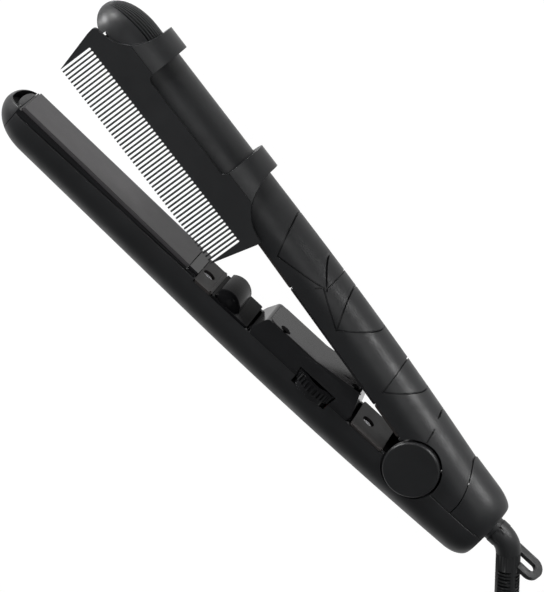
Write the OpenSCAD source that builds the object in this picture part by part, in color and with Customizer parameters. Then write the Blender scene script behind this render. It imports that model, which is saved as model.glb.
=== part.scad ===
// Slim hair straightener with floating plates, clip-on comb, edge wheel and swivel cord.
// It lies on its side: +Z is up along the hinge pin, +X runs from the hinge to the nose.
// The lower arm is on the +Y side, the upper arm on the -Y side, open at rest.
// The origin is on the hinge axis, in the flat face of the far hinge cap.

/* [Arms] */
// Width of an arm across its side walls
arm_w = 30; // [29:0.5:34]
// Hinge axis to the nose of the lower arm
arm_len = 242; // [240:1:250]
// Hinge axis to the rear end
tail_len = 44.5; // [43:0.5:50]
// Wall of the moulded shells
wall = 1.8; // [1.6:0.1:2]
// Height of the rounded back of an arm
back_h = 14.5; // [13:0.5:15]
// Depth of the lower arm at the rear of its plate
lower_depth = 19; // [18:0.5:21]
// Depth of the upper arm at the rear of its plate
upper_depth = 18.5; // [18:0.5:21]
// Taper of the lower arm towards its nose, degrees
lower_taper = 1.6; // [1.2:0.1:1.8]
// Taper of the upper arm towards its nose, degrees
upper_taper = 1.95; // [1.6:0.05:2.1]
// Reach of the upper arm's nose past the lower one
upper_past = 1.5; // [1:0.5:4]
// Rim of the lower arm to the hinge axis
rim_lower = 3; // [2.5:0.1:4]
// Rim of the upper arm to the hinge axis
rim_upper = 3.4; // [3:0.1:4.5]
// Opening between the arms at rest, degrees
open_angle = 12.4; // [10:0.1:14]

/* [Hinge] */
// Radius of the hinge pin
pin_r = 3; // [2.5:0.1:4]
// Radius of the round hinge caps
cap_r = 12.9; // [12:0.1:13.5]
// Height of the caps above the side walls
cap_proud = 1.5; // [1.5:0.1:2.5]
// Dark ring gap around the caps
cap_gap = 1; // [0.6:0.1:1.2]
// Wire of the opening spring
spring_wire = 1.2; // [1:0.1:1.2]
// Mean radius of the opening spring
spring_r = 5.6; // [5:0.1:6.5]
// Radius of the seam between the upper arm and the rear cap
tail_arc = 26; // [25:0.5:28]

/* [Plates] */
// Length of a heating plate
plate_len = 100; // [90:1:102]
// Width of a heating plate
plate_w = 25; // [22:0.5:25]
// Thickness of a heating plate
plate_t = 1.5; // [1:0.1:2]
// Front edge of the plates to the nose of the lower arm
nose_len = 9.6; // [9.2:0.1:12]
// Plate face above the lower rim, at mid length
plate_proud = 3.4; // [3:0.1:3.6]
// Tilt of the plates against the rims, degrees
plate_tilt = 1.2; // [0.5:0.1:1.5]
// Height of a plate's side above its holder
plate_side = 1.7; // [1.5:0.1:2]
// Travel of a floating plate
plate_travel = 1; // [0.6:0.1:1]

/* [Controls] */
// Radius of the temperature wheel
wheel_r = 10.5; // [9:0.1:11]
// Reach of the wheel past the side wall
wheel_reach = 4.7; // [4:0.1:6]
// Hinge axis to the wheel axis
wheel_x = 55.8; // [52:0.1:60]
// Height of the wheel
wheel_h = 6.4; // [5:0.1:7]
// Ribs around the wheel
wheel_ribs = 30; // [20:1:36]
// Front foot of the control housing to the plates
housing_to_plate = 37.9; // [36.5:0.1:42]
// Rear foot of the control housing, from the hinge axis
housing_rear = 34.5; // [33:0.5:36]
// Height of the control housing above the rim
housing_h = 8.5; // [7.5:0.1:8.6]
// Further rise of the housing towards the hinge
housing_rise = 3.3; // [2:0.1:3.3]

/* [Comb] */
// Number of comb teeth between the two guards
teeth = 55; // [30:1:60]
// Length of the comb teeth
tooth_len = 17; // [12:0.5:18]
// Width of a comb tooth
tooth_w = 0.8; // [0.6:0.05:0.9]
// Thickness of the comb's side plate
comb_t = 1.7; // [1.4:0.1:2]
// Foremost gap of the comb behind the front edge of the plates
comb_back_off = 0.2; // [0:0.1:3]
// Length of the row of teeth
comb_len = 106.4; // [100:0.1:108]
// Width of a collar
collar_w = 11; // [8:0.5:12]
// Thickness of a collar over the arm's back
collar_t = 4.8; // [3:0.1:5]

/* [Cord] */
// Diameter of the mains lead
cord_d = 6; // [5.5:0.1:6]
// Radius of the swivel neck
neck_r = 5.7; // [5.2:0.1:5.8]
// Bend of the cord boot, degrees
elbow_angle = 52.7; // [45:0.1:60]
// Turn of the swivel at rest, from the lower arm's side towards the floor, degrees
swivel_rest = -14; // [-14:1:-10]
// Middle radius of the boot's bend
elbow_r = 10; // [9:0.5:12]
// Length of the boot's straight, ribbed part
relief_len = 44; // [40:1:44]
// Grooves of the strain relief
relief_grooves = 14; // [8:1:14]
// Turns of the coiled lead, half of them in each layer
coil_turns = 8; // [8:2:8]
// Radius of the innermost turn
coil_r = 24; // [24:0.5:26]

/* [Hidden] */
$fn = 72;
eps = 0.05;
clear = 0.3;             // gap between pieces that don't move
seam = 0.2;              // dark line between neighbouring covers
run_fit = 0.05;          // radial clearance of what turns
half_w = arm_w/2;
mid_z = half_w + cap_proud;
rim_gap = rim_lower + rim_upper;
upper_proud = rim_gap - plate_proud;
plate_end = arm_len - nose_len;
plate_start = plate_end - plate_len;
plate_mid = plate_start + plate_len/2;
holder_start = plate_start - 5.4;
lower_tip = plate_end + 1.1;
upper_tip = plate_end - 16.4;
nose_start = plate_end - 10.4;
upper_len = arm_len + upper_past;
housing_front = plate_start - housing_to_plate;
nose_level = 2;          // depth of the nose's foremost point under the rim
nose_rise = 3.2;         // inner face of the nose above the rim
taper_from = plate_start - 12.4;  // the arms are straight from here to the nose
lower_bow = 0.00021;     // how the backs curve in towards the hinge
upper_bow = 0.00026;
panel_t = 1.2;
front_screw_x = holder_start - 4.2;  // screws of the inner covers
rear_screw_x = housing_rear - 7.5;
lid_screws_x = [housing_front - 12.7, housing_rear + 7];
lid_screw_z = 8.4;
upper_screws_x = [housing_front + 13.5, housing_rear - 10.5];
light_at = [housing_rear + 13, 5.5];
hole_r = cap_r + cap_gap;
ear_r = 11;
ear_in = 8;
ear_out = half_w - 1.6;
knuckle_r = 9.5;
knuckle_lo = -7.5;
knuckle_hi = 1.8;
back_steps = 20;         // facets across the rounded back
body_grey = [0.17, 0.17, 0.18];
gloss_black = [0.07, 0.07, 0.08];
plate_grey = [0.36, 0.35, 0.36];
panel_grey = [0.27, 0.26, 0.27];
brass = [0.8, 0.65, 0.3];
steel = [0.72, 0.73, 0.75];
lead_red = [0.6, 0.15, 0.12];

// Comb frame: parallel to the straight back of the upper arm
comb_angle = open_angle - upper_taper;
comb_back = rim_upper + upper_depth + taper_from*tan(upper_taper);
comb_wall = comb_back - back_h;
comb_in = half_w + clear;
comb_root = -2.4;
comb_end = plate_end - comb_back_off;
comb_start = comb_end - comb_len;
front_collar = comb_end - 25.7;
rear_collar = comb_start + 15.7;
window_y = -14.6;
slot_w = (comb_len - teeth*tooth_w)/(teeth + 1);
slot_round = 0.3*slot_w;  // bevel at the root of a slot
slot = [[0, tooth_len + 1], [0, slot_round], [slot_round, 0], [slot_w - slot_round, 0],
    [slot_w, slot_round], [slot_w, tooth_len + 1]];

// Lead: route of the free stretch behind the strain relief, chosen by hand
neck_end = tail_len + 5.5;
cord_r = cord_d/2;
coil_gap = 0.5;
coil_pitch = cord_d + coil_gap;
coil_lift = 1.2;
coil_low = cord_r + coil_lift;
coil_outer = coil_r + (coil_turns/2 - 0.5)*coil_pitch;
coil_centre = [-150, -11];
coil_steps = 24;
plug_len = 34;
plug_w = 26;
plug_h = 13.6;

module in_lower() { translate([0, rim_lower, mid_z]) children(); }
module in_upper() {
    rotate([0, 0, -open_angle]) translate([0, -rim_upper, mid_z]) mirror([0, 1, 0]) children();
}
module in_comb() {
    rotate([0, 0, -comb_angle]) translate([0, 0, mid_z]) children();
}
// Frame on the middle of a plate's face; y runs into the arm
module on_lower_plate() {
    in_lower() translate([plate_mid, -plate_proud, 0]) rotate([0, 0, -plate_tilt]) children();
}
module on_upper_plate() {
    in_upper() translate([plate_mid, -upper_proud, 0]) rotate([0, 0, plate_tilt]) children();
}
// Box between two corners
module box(low, high) { translate(low) cube(high - low); }
// Cylinder along Z or Y from one level to another
module post(r, from, to) { translate([0, 0, from]) cylinder(r = r, h = to - from); }
module post_y(r, from, to) { rotate([-90, 0, 0]) post(r, from, to); }
module post_x(r, from, to) { rotate([0, 90, 0]) post(r, from, to); }

// Depth of an arm's back under its rim, at x
function lower_back(x) = back_at(x, lower_depth, lower_taper, lower_bow);
function upper_back(x) = back_at(x, upper_depth, upper_taper, upper_bow);
function back_at(x, depth, taper, bow) =
    depth + (taper_from - x)*tan(taper) - bow*pow(max(taper_from - x, 0), 2);
// How full the round nose and the round tail are, at x, from 1 to 0
function nose_part(x, reach) = max(x - nose_start, 0)/(reach - nose_start);
function nose_full(x, reach) = sqrt(1 - pow(min(nose_part(x, reach), 1), 2));
function nose_flat(x, reach) = sqrt(1 - pow(min(nose_part(x, reach), 1), 4));
function tail_part(x) = max(-x - (tail_len - 10), 0)/10;
function tail_full(x) = 0.62 + 0.38*sqrt(1 - pow(min(tail_part(x), 1), 2));
// Depth of the back where it runs out round the nose
function nose_depth(x, depth, reach) = nose_level + (depth - nose_level)*nose_full(x, reach);
function nose_plan(x, reach) = sqrt(1 - pow(min(nose_part(x, reach), 1), 3));
function half_at(x, reach = arm_len) = half_w*nose_plan(x, reach)*(0.2 + 0.8*tail_full(x));

// One cross-section: side walls from top, then the rounded back; t thins it for a cavity
function arm_ring(x, top, depth, half, round_h, t) = concat(
    [[x, top, half - t]],
    [for (i = [0:back_steps]) let (a = 180*i/back_steps)
        [x, depth - round_h + (round_h - t)*sin(a), (half - t)*cos(a)]],
    [[x, top, t - half]]);
// Solid through a list of cross-sections with equal counts
module skin(rings) {
    m = len(rings[0]);
    last = (len(rings) - 1)*m;
    polyhedron(
        points = [for (r = rings) each r],
        faces = concat(
            [[for (j = [0:m - 1]) m - 1 - j]],
            [[for (j = [0:m - 1]) last + j]],
            [for (i = [0:len(rings) - 2], j = [0:m - 1])
                let (a = i*m + j, b = i*m + (j + 1)%m)
                each [[a, b, a + m], [b, b + m, a + m]]]));
}
// Stations along an arm, closer together where it curves
function tail_xs(from) = [for (i = [0:7]) from + i*i*0.25];
function grip_xs(from, to, n) = [for (i = [1:n]) from + (to - from)*i/n];

// Lower arm as one solid, or its cavity with t the wall
module lower_solid(t, top) {
    xs = concat(tail_xs(-tail_len + t), grip_xs(-tail_len + t + 12.25, nose_start - 8, 12),
        grip_xs(nose_start - 8, lower_tip + (t > 0 ? 1 : 0), 7));
    skin([for (x = xs) let (f = tail_full(x),
            d = nose_depth(x, lower_back(x), arm_len)*(0.25 + 0.75*f))
        arm_ring(x, top, d, half_at(x), min(back_h*(0.3 + 0.7*f)*nose_full(x, arm_len), d - 0.2), t)]);
}
module upper_solid(t, top) {
    xs = grip_xs(-tail_len, upper_tip + (t > 0 ? 1 : 0), 20);
    skin([for (x = xs) arm_ring(x, top, upper_back(x), half_w, back_h, t)]);
}

// Lower arm
// Moulded lower shell with hinge ears, end wall, wheel notch and screw posts
module lower_shell() {
    color(body_grey) difference() {
        union() {
            in_lower() difference() {
                lower_solid(0, 0);
                lower_solid(wall, -1);
            }
            in_lower() intersection() {
                lower_solid(0, 0);
                for (s = [-1, 1]) hinge_web(s);
            }
            for (s = [-1, 1]) translate([0, 0, mid_z]) hinge_ear(s);
            in_lower() for (x = [front_screw_x, rear_screw_x])
                screw_post(x, 0, lower_back(x), panel_t + 2.2);
            in_lower() for (x = lid_screws_x) screw_post(x, lid_screw_z, lower_back(x) - 4, 3);
        }
        translate([0, 0, mid_z]) post(hole_r, ear_out + eps, half_w + 1);
        translate([0, 0, mid_z]) post(hole_r, -half_w - 1, -ear_out - eps);
        translate([0, 0, mid_z]) post(pin_r + 0.01, -half_w, half_w);
        // The covers lie on a lowered rim
        in_lower() box([14.5, -1, -half_w - 1], [holder_start - 0.3, panel_t + 0.05, half_w + 1]);
        in_lower() box([nose_start - 2, -1, -plate_w/2 - 0.4], [lower_tip + 1, 1, plate_w/2 + 0.4]);
        translate([wheel_x, 0, mid_z + wheel_z]) post_y(wheel_r + 0.7, -1, wheel_top + wheel_h + 0.5);
        translate([0, 0, mid_z]) post_x(neck_r + clear, -tail_len - 1, -tail_len + wall + 1);
    }
}
wheel_z = half_w + wheel_reach - wheel_r;
wheel_top = 0.6;
module hinge_web(s) {
    z = s > 0 ? ear_in : -ear_out;
    box([-ear_r + 1, -rim_lower, z], [ear_r - 1, 30, z + ear_out - ear_in]);
}
module hinge_ear(s) {
    z = s > 0 ? ear_in : -ear_out;
    post(ear_r, z, z + ear_out - ear_in);
}
// Post from the back of the arm up to a cover, with a blind screw hole
module screw_post(x, z, foot, top) {
    translate([x, 0, z]) difference() {
        post_y(3, top, foot - wall + 0.6);
        post_y(1.2, top - 1, top + 7);
    }
}

// Domed nose from one station to its reach, under the straight back that it starts from
module nose(from, back, taper, reach) {
    steps = 9;
    span = reach - 0.15 - from;
    skin([for (i = [0:steps]) let (x = from + span*(1 - pow(1 - i/steps, 2)),
            top = nose_level - (nose_level + nose_rise)*nose_flat(x, reach),
            d = nose_depth(x, back - tan(taper)*(x - from), reach),
            r = min(back_h*nose_full(x, reach), d - top - 0.02))
        arm_ring(x, top, d, half_at(x, reach), r, 0)]);
}
module lower_tip_cap() {
    color(body_grey) in_lower() {
        nose(lower_tip + seam, lower_back(lower_tip + seam), lower_taper, arm_len);
        box([lower_tip - 3, 8, -5], [lower_tip + seam + eps, 10, 5]);
    }
}

// Upper half of the tail; it stays with the lower arm behind the round seam
module rear_cap() {
    color(body_grey) translate([0, 0, mid_z]) difference() {
        rear_cap_solid(0, rim_lower - seam);
        rear_cap_solid(wall, rim_lower + 1);
        post(tail_arc, -half_w - 1, half_w + 1);
        post_x(neck_r + clear, -tail_len - 1, -tail_len + wall + 1);
    }
}
// Height of the rear cap over the hinge axis, at x
function tail_top(x) = 17.6 + (x + 24)*0.2;
module rear_cap_solid(t, low) {
    xs = concat(tail_xs(-tail_len + t), grip_xs(-tail_len + t + 12.25, -8, 5));
    mirror([0, 1, 0]) skin([for (x = xs) let (d = tail_top(x)*(0.45 + 0.55*tail_full(x)))
        arm_ring(x, -low, d, half_at(x), back_h*(0.5 + 0.5*tail_full(x)), t)]);
}

// Plate holder: a tray with a shoulder over the rim, in its plate's frame
module holder_tray() {
    x0 = holder_start - plate_mid;
    x1 = lower_tip - 0.1 - plate_mid;
    difference() {
        union() {
            box([x0, plate_side, -half_w + 0.8], [x1, 7, half_w - 0.8]);
            box([x0, 1, -11], [x1 - 2, 9, 11]);
        }
        box([-plate_len/2 - clear, -1, -plate_w/2 - clear], [plate_len/2 + clear, 5, plate_w/2 + clear]);
        box([-plate_len/2 + 1.5, 3, -10], [plate_len/2 - 1.5, 8, 10]);
    }
}
module end_block() {
    box([holder_start - plate_mid, 0.1, -plate_w/2], [-plate_len/2 - 0.5, 3, plate_w/2]);
}
module lower_plate_holder() {
    color(gloss_black) rim_fit_lower() on_lower_plate() {
        holder_tray();
        end_block();
    }
}
module rim_fit_lower() {
    intersection() {
        children();
        in_lower() rim_space();
    }
}
module rim_fit_upper() {
    intersection() {
        children();
        in_upper() rim_space();
    }
}
module rim_space() {
    inner = half_w - wall - clear;
    box([holder_start - 1, -9, -half_w], [lower_tip, -seam, half_w]);
    box([holder_start - 1, -9, -inner], [nose_start - 1, 2.2, inner]);
    box([holder_start - 1, -9, -11], [lower_tip, 7.2, 11]);
}
module upper_plate_holder() {
    color(gloss_black) rim_fit_upper() on_upper_plate() {
        holder_tray();
        end_block();
    }
}

// Heating plate: flat face with turned-down sides
module plate() {
    side_t = 1.2;
    difference() {
        box([-plate_len/2, 0, -plate_w/2], [plate_len/2, 3.4, plate_w/2]);
        box([-plate_len/2 - 1, plate_t, -plate_w/2 + side_t], [plate_len/2 + 1, 4, plate_w/2 - side_t]);
    }
}
carrier_bottom = 8 - plate_travel - 1.2;
// Aluminium carrier that presses the heater on the plate
module carrier() {
    difference() {
        box([-plate_len/2 + 4, plate_t, -9.4], [plate_len/2 - 4, carrier_bottom, 9.4]);
        box([-plate_len, plate_t + 0.8, -6.2], [plate_len, plate_t + 2.8, 6.2]);
    }
}
module heater() {
    box([-plate_len/2 + 10, plate_t + 0.8, -6.1], [plate_len/2 - 10, plate_t + 2.8, 6.1]);
}
module pads() {
    for (x = [-1, 1]*(plate_len/2 - 18))
        box([x - 6, carrier_bottom + plate_travel + 0.1, -7], [x + 6, 8, 7]);
}
module lower_plate() { color(plate_grey) on_lower_plate() plate(); }
module upper_plate() { color(plate_grey) on_upper_plate() plate(); }
module lower_heat_carrier() { color("silver") on_lower_plate() carrier(); }
module upper_heat_carrier() { color("silver") on_upper_plate() carrier(); }
module lower_heater() { color("ivory") on_lower_plate() heater(); }
module upper_heater() { color("ivory") on_upper_plate() heater(); }
module lower_plate_pads() { color("tomato") on_lower_plate() pads(); }
module upper_plate_pads() { color("tomato") on_upper_plate() pads(); }
// Bead sensor in the carrier's channel
module plate_sensor() {
    color("black") on_lower_plate()
        translate([plate_len/2 - 7, plate_t + 1.8, 0]) post(0.9, -4, 4);
}

// Covers on the inner face of the lower arm
module cover_sheet(x0, x1, corner) {
    inner = half_w - wall - clear;
    rotate([-90, 0, 0]) linear_extrude(panel_t) translate([x0, -half_w + 0.1]) {
        rounded(x1 - x0, arm_w - 0.2, corner);
    }
    box([x0 + 2, panel_t - eps, -inner], [x1 - 2, panel_t + 2, -inner + 1.4]);
    box([x0 + 2, panel_t - eps, inner - 1.4], [x1 - 2, panel_t + 2, inner]);
}
module rounded(l, w, r) {
    for (x = [r, l - r], y = [r, w - r]) translate([x, y]) circle(r);
    translate([r, 0]) square([l - 2*r, w]);
    translate([0, r]) square([l, w - 2*r]);
}
module screw_hole(x, z, top, bottom) {
    translate([x, 0, z]) {
        post_y(1.6, top - 1, bottom + 1);
        post_y(3, top - 1, bottom - 0.8);
    }
}
module front_panel() {
    color(panel_grey) in_lower() difference() {
        union() {
            cover_sheet(holder_start - 10.4, holder_start - 0.3, 1.2);
            box([holder_start - 9.8, -0.6, -half_w + 1], [holder_start - 8.8, eps, half_w - 1]);
            translate([front_screw_x, 0, 0]) post_y(4.2, 0, panel_t + 2.1);
        }
        screw_hole(front_screw_x, 0, 0, panel_t + 2.1);
    }
}
// Glossy locating hump: an arch across the arm, with a shallow recess beside its near end
hump_h = 4.7;
hump_r = 7.6;
hump_x = holder_start - 18.1;
hump_near = 8;
module guide_block() {
    color(gloss_black) in_lower() difference() {
        union() {
            cover_sheet(housing_front + 1, holder_start - 10.6, 1);
            intersection() {
                translate([hump_x, hump_r - hump_h, 0]) post(hump_r, -half_w + 1.5, hump_near);
                box([hump_x - 8, -hump_h - 1, -half_w], [hump_x + 6.3, eps, half_w]);
            }
        }
        box([hump_x - 6.9, -1, hump_near + 0.4], [hump_x + 6.3, 0.6, half_w - 1]);
    }
}
module rear_panel() {
    color(panel_grey) in_lower() difference() {
        union() {
            cover_sheet(14.9, housing_rear - 1.1, 1.2);
            translate([rear_screw_x, 0, 0]) post_y(4.2, 0, panel_t + 2.1);
        }
        screw_hole(rear_screw_x, 0, 0, panel_t + 2.1);
        translate([0, -rim_lower, 0]) post(hole_r + 0.3, -half_w - 1, half_w + 1);
    }
}

// Raised control housing: sloped ends, leaning sides, open below
rise_x = [housing_rear + 4.5, housing_rear + 28.5];  // the housing's top is highest here, lowest there
function housing_top(x) =
    housing_h + housing_rise*min(max((rise_x[1] - x)/(rise_x[1] - rise_x[0]), 0), 1);
module housing_profile(inset) {
    polygon([[housing_rear + inset, 0], [housing_rear + 4.6 + inset, -housing_top(rise_x[0]) + inset],
        [rise_x[1], -housing_h + inset], [housing_front - 3.6 - inset, -housing_h + inset],
        [housing_front - inset, 0]]);
}
housing_lean = 3.4;
module housing_solid(inset) {
    wide = half_w - 0.2 - inset;
    narrow = wide - housing_lean;
    high = housing_h + housing_rise;
    intersection() {
        translate([0, 0, -half_w]) linear_extrude(arm_w) housing_profile(inset);
        rotate([90, 0, 90]) linear_extrude(housing_front + 10) polygon([[1, -wide], [-housing_h, -narrow],
            [-high - 1, -narrow], [-high - 1, narrow], [-housing_h, narrow], [1, wide]]);
        housing_plan(inset);
    }
}
// Corners of the housing are rounded in plan
module housing_plan(inset) {
    rotate([90, 0, 0]) translate([0, 0, -20]) linear_extrude(60)
        translate([housing_rear + inset, -half_w + inset])
            rounded(housing_front - housing_rear - 2*inset, arm_w - 2*inset, 3.2);
}
cover_t = 1.2;
module control_housing() {
    color(gloss_black) in_lower() difference() {
        union() {
            difference() {
                union() {
                    housing_solid(0);
                    cover_sheet(housing_rear, housing_front, 2.6);
                }
                difference() {
                    housing_solid(wall);
                    housing_lid_space(wall, cover_t + 1.4);
                }
                box([housing_rear + 5, -1, -half_w + 4], [housing_front - 5, 3, half_w - 4]);
            }
            for (x = lid_screws_x) translate([x, 0, lid_screw_z]) post_y(3.2, -housing_top(x) + 1, 2.8);
        }
        housing_lid_space(0.05, cover_t);
        for (x = lid_screws_x) translate([x, 0, lid_screw_z]) post_y(1.6, -20, 4);
        for (x = lid_screws_x) translate([x, 0, lid_screw_z]) post_y(2.6, -20, -2);
        translate([light_at[0], 0, light_at[1]]) post_y(1.6, -20, -2);
        wheel_space();
    }
}
module wheel_space() {
    translate([wheel_x, -rim_lower, wheel_z])
        post_y(wheel_r + 0.7, wheel_top - 0.5, wheel_top + wheel_h + 0.5);
}
// Space of the top cover, grown by gap, t thick under the housing's top
module housing_lid_space(gap, t) {
    half = half_w - 0.2 - housing_lean - 0.4 + gap;
    x0 = housing_rear + 5.4 - gap;
    x1 = housing_front - 4.4 + gap;
    intersection() {
        translate([0, 0, -half]) linear_extrude(2*half)
            polygon([[x0 - 10, -housing_top(rise_x[0]) + t], [rise_x[0], -housing_top(rise_x[0]) + t],
                [rise_x[1], -housing_h + t], [x1 + 10, -housing_h + t], [x1 + 10, -30], [x0 - 10, -30]]);
        rotate([90, 0, 0]) translate([0, 0, -20]) linear_extrude(60) translate([x0, -half])
            rounded(x1 - x0, 2*half, 3.6);
    }
}
module control_cover() {
    color(panel_grey) in_lower() difference() {
        intersection() {
            housing_lid_space(-0.1, cover_t - 0.05);
            translate([0, -0.35, 0]) housing_solid(0);
        }
        for (x = lid_screws_x) translate([x, 0, lid_screw_z]) post_y(2.6, -20, 0);
        translate([light_at[0], -20, light_at[1]]) box([-1.8, 0, -0.5], [1.8, 20, 0.5]);
    }
}

// Screws of the covers: pan heads in their recesses
module screw(x, z, head, len) {
    translate([x, 0, z]) difference() {
        union() {
            post_y(2.3, head, head + 1.5);
            post_y(1.15, head, head + len);
        }
        for (a = [0, 90]) rotate([0, a, 0]) box([-1.4, head - 1, -0.3], [1.4, head + 0.7, 0.3]);
    }
}
module cover_screws() {
    color(steel) in_lower() {
        for (x = [front_screw_x, rear_screw_x]) screw(x, 0, 1.0, 7.5);
        for (x = lid_screws_x) screw(x, lid_screw_z, -3.6, 12.8);
    }
}

// Electronics
module potentiometer() {
    color("darkblue") in_lower() difference() {
        translate([wheel_x, -rim_lower, wheel_z])
            post_y(3.6, wheel_top + wheel_h + 0.4, wheel_top + wheel_h + 3.4);
        translate([wheel_x, -rim_lower, wheel_z]) post_y(1.5 + run_fit, 0, 20);
    }
}
board_y = wheel_top + wheel_h + 3.4 - rim_lower;
board_x = [housing_rear + 10.3, housing_front - 16.1];
module control_board() {
    color("seagreen") in_lower() difference() {
        union() {
            box([board_x[0], board_y, -11], [board_x[1], board_y + 1.4, 12]);
            box([board_x[1] - 12.4, board_y - 4, -10], [board_x[1] - 4.4, board_y + eps, -2]);
            box([board_x[0] + 2.7, board_y - 3, -9], [board_x[0] + 6.7, board_y + eps, -3]);
            // Stands that carry the board on the shell's back
            for (x = board_x + [3.2, -3.4])
                translate([x, 0, -4]) post_y(2, board_y + 1, lower_back(x) - wall - 1.9);
        }
        translate([wheel_x, 0, wheel_z]) post_y(2.2, 0, 20);
    }
}
module indicator_light() {
    color("red") in_lower() {
        translate([light_at[0], 0, light_at[1]])
            post_y(1.5, -housing_top(light_at[0]) + cover_t + 0.1, -4);
        translate([light_at[0] - 2.1, 0, light_at[1]]) post_y(0.5, -4.8, board_y);
    }
}
// Wire that lies on the inside of a back, h over it, between two stations
function lead_x(part) = wheel_x + 8.2 + part*(holder_start - 31.2 - wheel_x);
function lead_on(h, at) = [for (p = at) [p[0], p[1] - wall - h, p[2]]];
module lower_leads() {
    color(lead_red) in_lower() for (z = [0, 2.2])
        tube(concat([[wheel_x - 2.8, board_y + 2.5, z + 1], [wheel_x + 0.2, board_y + 3, z + 1]],
            lead_on(1.5, [for (i = [0:2]) let (x = lead_x(i/2)) [x, lower_back(x), z + 1]]),
            lead_on(2.9, [for (d = [-11, 2]) let (x = holder_start + d) [x, lower_back(x), z + 4.4]])),
            0.9, 6);
}
module mains_leads() {
    color(lead_red) in_lower() for (s = [-1, 1])
        tube(concat([[socket_x0 + 10.6, 2, 3*s], [-27, 8, 4*s]],
            lead_on(2.3, [for (x = [-14, 8, 27]) [x, lower_back(x), 4.6*s]]),
            [[board_x[0] - 6.8, 13, 4.4*s], [board_x[0] - 1.8, board_y + 3.4, 4*s],
                [board_x[0] + 0.9, board_y + 2.6, 4*s]]), 1.1, 6);
}

// Hinge
module hinge_pin() {
    color(steel) translate([0, 0, mid_z]) post(pin_r, -half_w + 0.4, half_w - 0.4);
}
module hinge_cap() {
    // Slightly domed disc with a bevelled edge, recessed for the pin's end
    difference() {
        rotate_extrude() polygon([[0, ear_out + 0.05], [cap_r, ear_out + 0.05],
            [cap_r, half_w + cap_proud - 0.7], [cap_r - 0.7, half_w + cap_proud],
            [0, half_w + cap_proud]]);
        post(pin_r + 0.2, ear_out - 1, half_w - 0.2);
    }
}
module near_hinge_cap() { color(body_grey) translate([0, 0, mid_z]) hinge_cap(); }
module far_hinge_cap() {
    color(body_grey) translate([0, 0, mid_z]) mirror([0, 0, 1]) hinge_cap();
}
module hinge_washers() {
    color(brass) translate([0, 0, mid_z]) {
        ring_plate(pin_r + 0.1, 6, -7.9, -7.6);
        ring_plate(pin_r + 0.1, 6, 1.85, 2.15);
    }
}
module ring_plate(r_in, r_out, from, to) {
    difference() {
        post(r_out, from, to);
        post(r_in, from - 1, to + 1);
    }
}
// Torsion spring round the pin: its turns and two legs are one unbroken tube
spring_turns = 2.5;
spring_pitch = spring_wire + 0.42;
spring_low = 2.85;
spring_path = concat(
    [for (i = [4:-1:1]) [spring_r + 0.2*i, 4*i, spring_low]],
    [for (i = [0:12*spring_turns]) let (a = -30*i)
        [spring_r*cos(a), spring_r*sin(a), spring_low + spring_pitch*i/12]],
    [for (i = [1:4]) [-spring_r - 0.2*i, -3.6*i*0.2, spring_low + spring_pitch*spring_turns]]);
module hinge_spring() {
    color(steel) translate([0, 0, mid_z]) tube(spring_path, spring_wire/2, 6);
}

// Tube of round section swept along points: n sides, frames kept upright
function unit(v) = v/max(norm(v), 1e-9);
function path_dir(p, i) = unit(p[min(i + 1, len(p) - 1)] - p[max(i - 1, 0)]);
function side_of(d) = abs(d[2]) > 0.95 ? [1, 0, 0] : unit(cross(d, [0, 0, 1]));
module tube(p, r, n) {
    skin([for (i = [0:len(p) - 1]) let (d = path_dir(p, i), u = side_of(d), v = cross(u, d))
        [for (j = [0:n - 1]) p[i] + r*(cos(360*j/n + 180/n)*u + sin(360*j/n + 180/n)*v)]]);
}

// Swivel
socket_x0 = -tail_len + wall + 0.2;
module swivel_socket() {
    color("dimgray") translate([0, 0, mid_z]) {
        difference() {
            post_x(10.4, socket_x0, socket_x0 + 8);
            post_x(neck_r + run_fit, socket_x0 - 1, socket_x0 + 9);
            post_x(8.2, socket_x0 + 0.9, socket_x0 + 9);
        }
        post_x(10.4, socket_x0 + 8, socket_x0 + 9.5);
    }
}
module swivel_contacts() {
    color(brass) translate([socket_x0 + 7.4, 0, mid_z]) rotate([0, 90, 0]) {
        ring_plate(1.6, 3.0, 0, 0.6);
        ring_plate(5.2, 6.8, 0, 0.6);
    }
}
module boot_contacts() {
    color(brass) translate([0, 0, mid_z]) rotate([swivel_rest, 0, 0]) for (y = [2.3, -6])
        translate([0, y, 0]) post_x(0.6, socket_x0 + 3.4, socket_x0 + 7.35);
}
// Turning core: flange in the socket and neck through the tail's end
neck_out = tail_len + 2.5;
module swivel_neck() {
    color(body_grey) translate([0, 0, mid_z]) {
        post_x(8, socket_x0 + 1.1, socket_x0 + 3.4);
        post_x(neck_r, -neck_out, socket_x0 + 1.2);
    }
}

// Cord boot: elbow, ribbed relief and hanging loop in one moulding
module cord_boot() {
    color(body_grey) translate([0, 0, mid_z]) rotate([swivel_rest, 0, 0]) {
        post_x(neck_r + 0.25, -neck_end - 0.6, -neck_out);
        translate([-neck_end, elbow_r, 0]) rotate([0, 0, -90 - elbow_angle])
            rotate_extrude(angle = elbow_angle) translate([elbow_r, 0]) circle(neck_r);
        after_elbow() relief();
        translate([0, loop_at[0], loop_at[1]]) rotate([loop_tilt, 0, 0]) hanging_loop();
    }
}
// Frame at the end of the elbow; +X runs on along the lead
module after_elbow() {
    translate([-neck_end, elbow_r, 0]) rotate([0, 0, 180 - elbow_angle]) translate([0, elbow_r, 0])
        children();
}
relief_r = neck_r - 0.15;
relief_r1 = cord_r + 1.1;
relief_plain = 8;        // smooth stretch behind the elbow
relief_body = 26;        // full width up to here, then tapered
groove_pitch = 1.8;
groove_d = 1.1;
function relief_at(x) =
    relief_r - (relief_r - relief_r1)*max(x - relief_body, 0)/(relief_len - relief_body);
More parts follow.
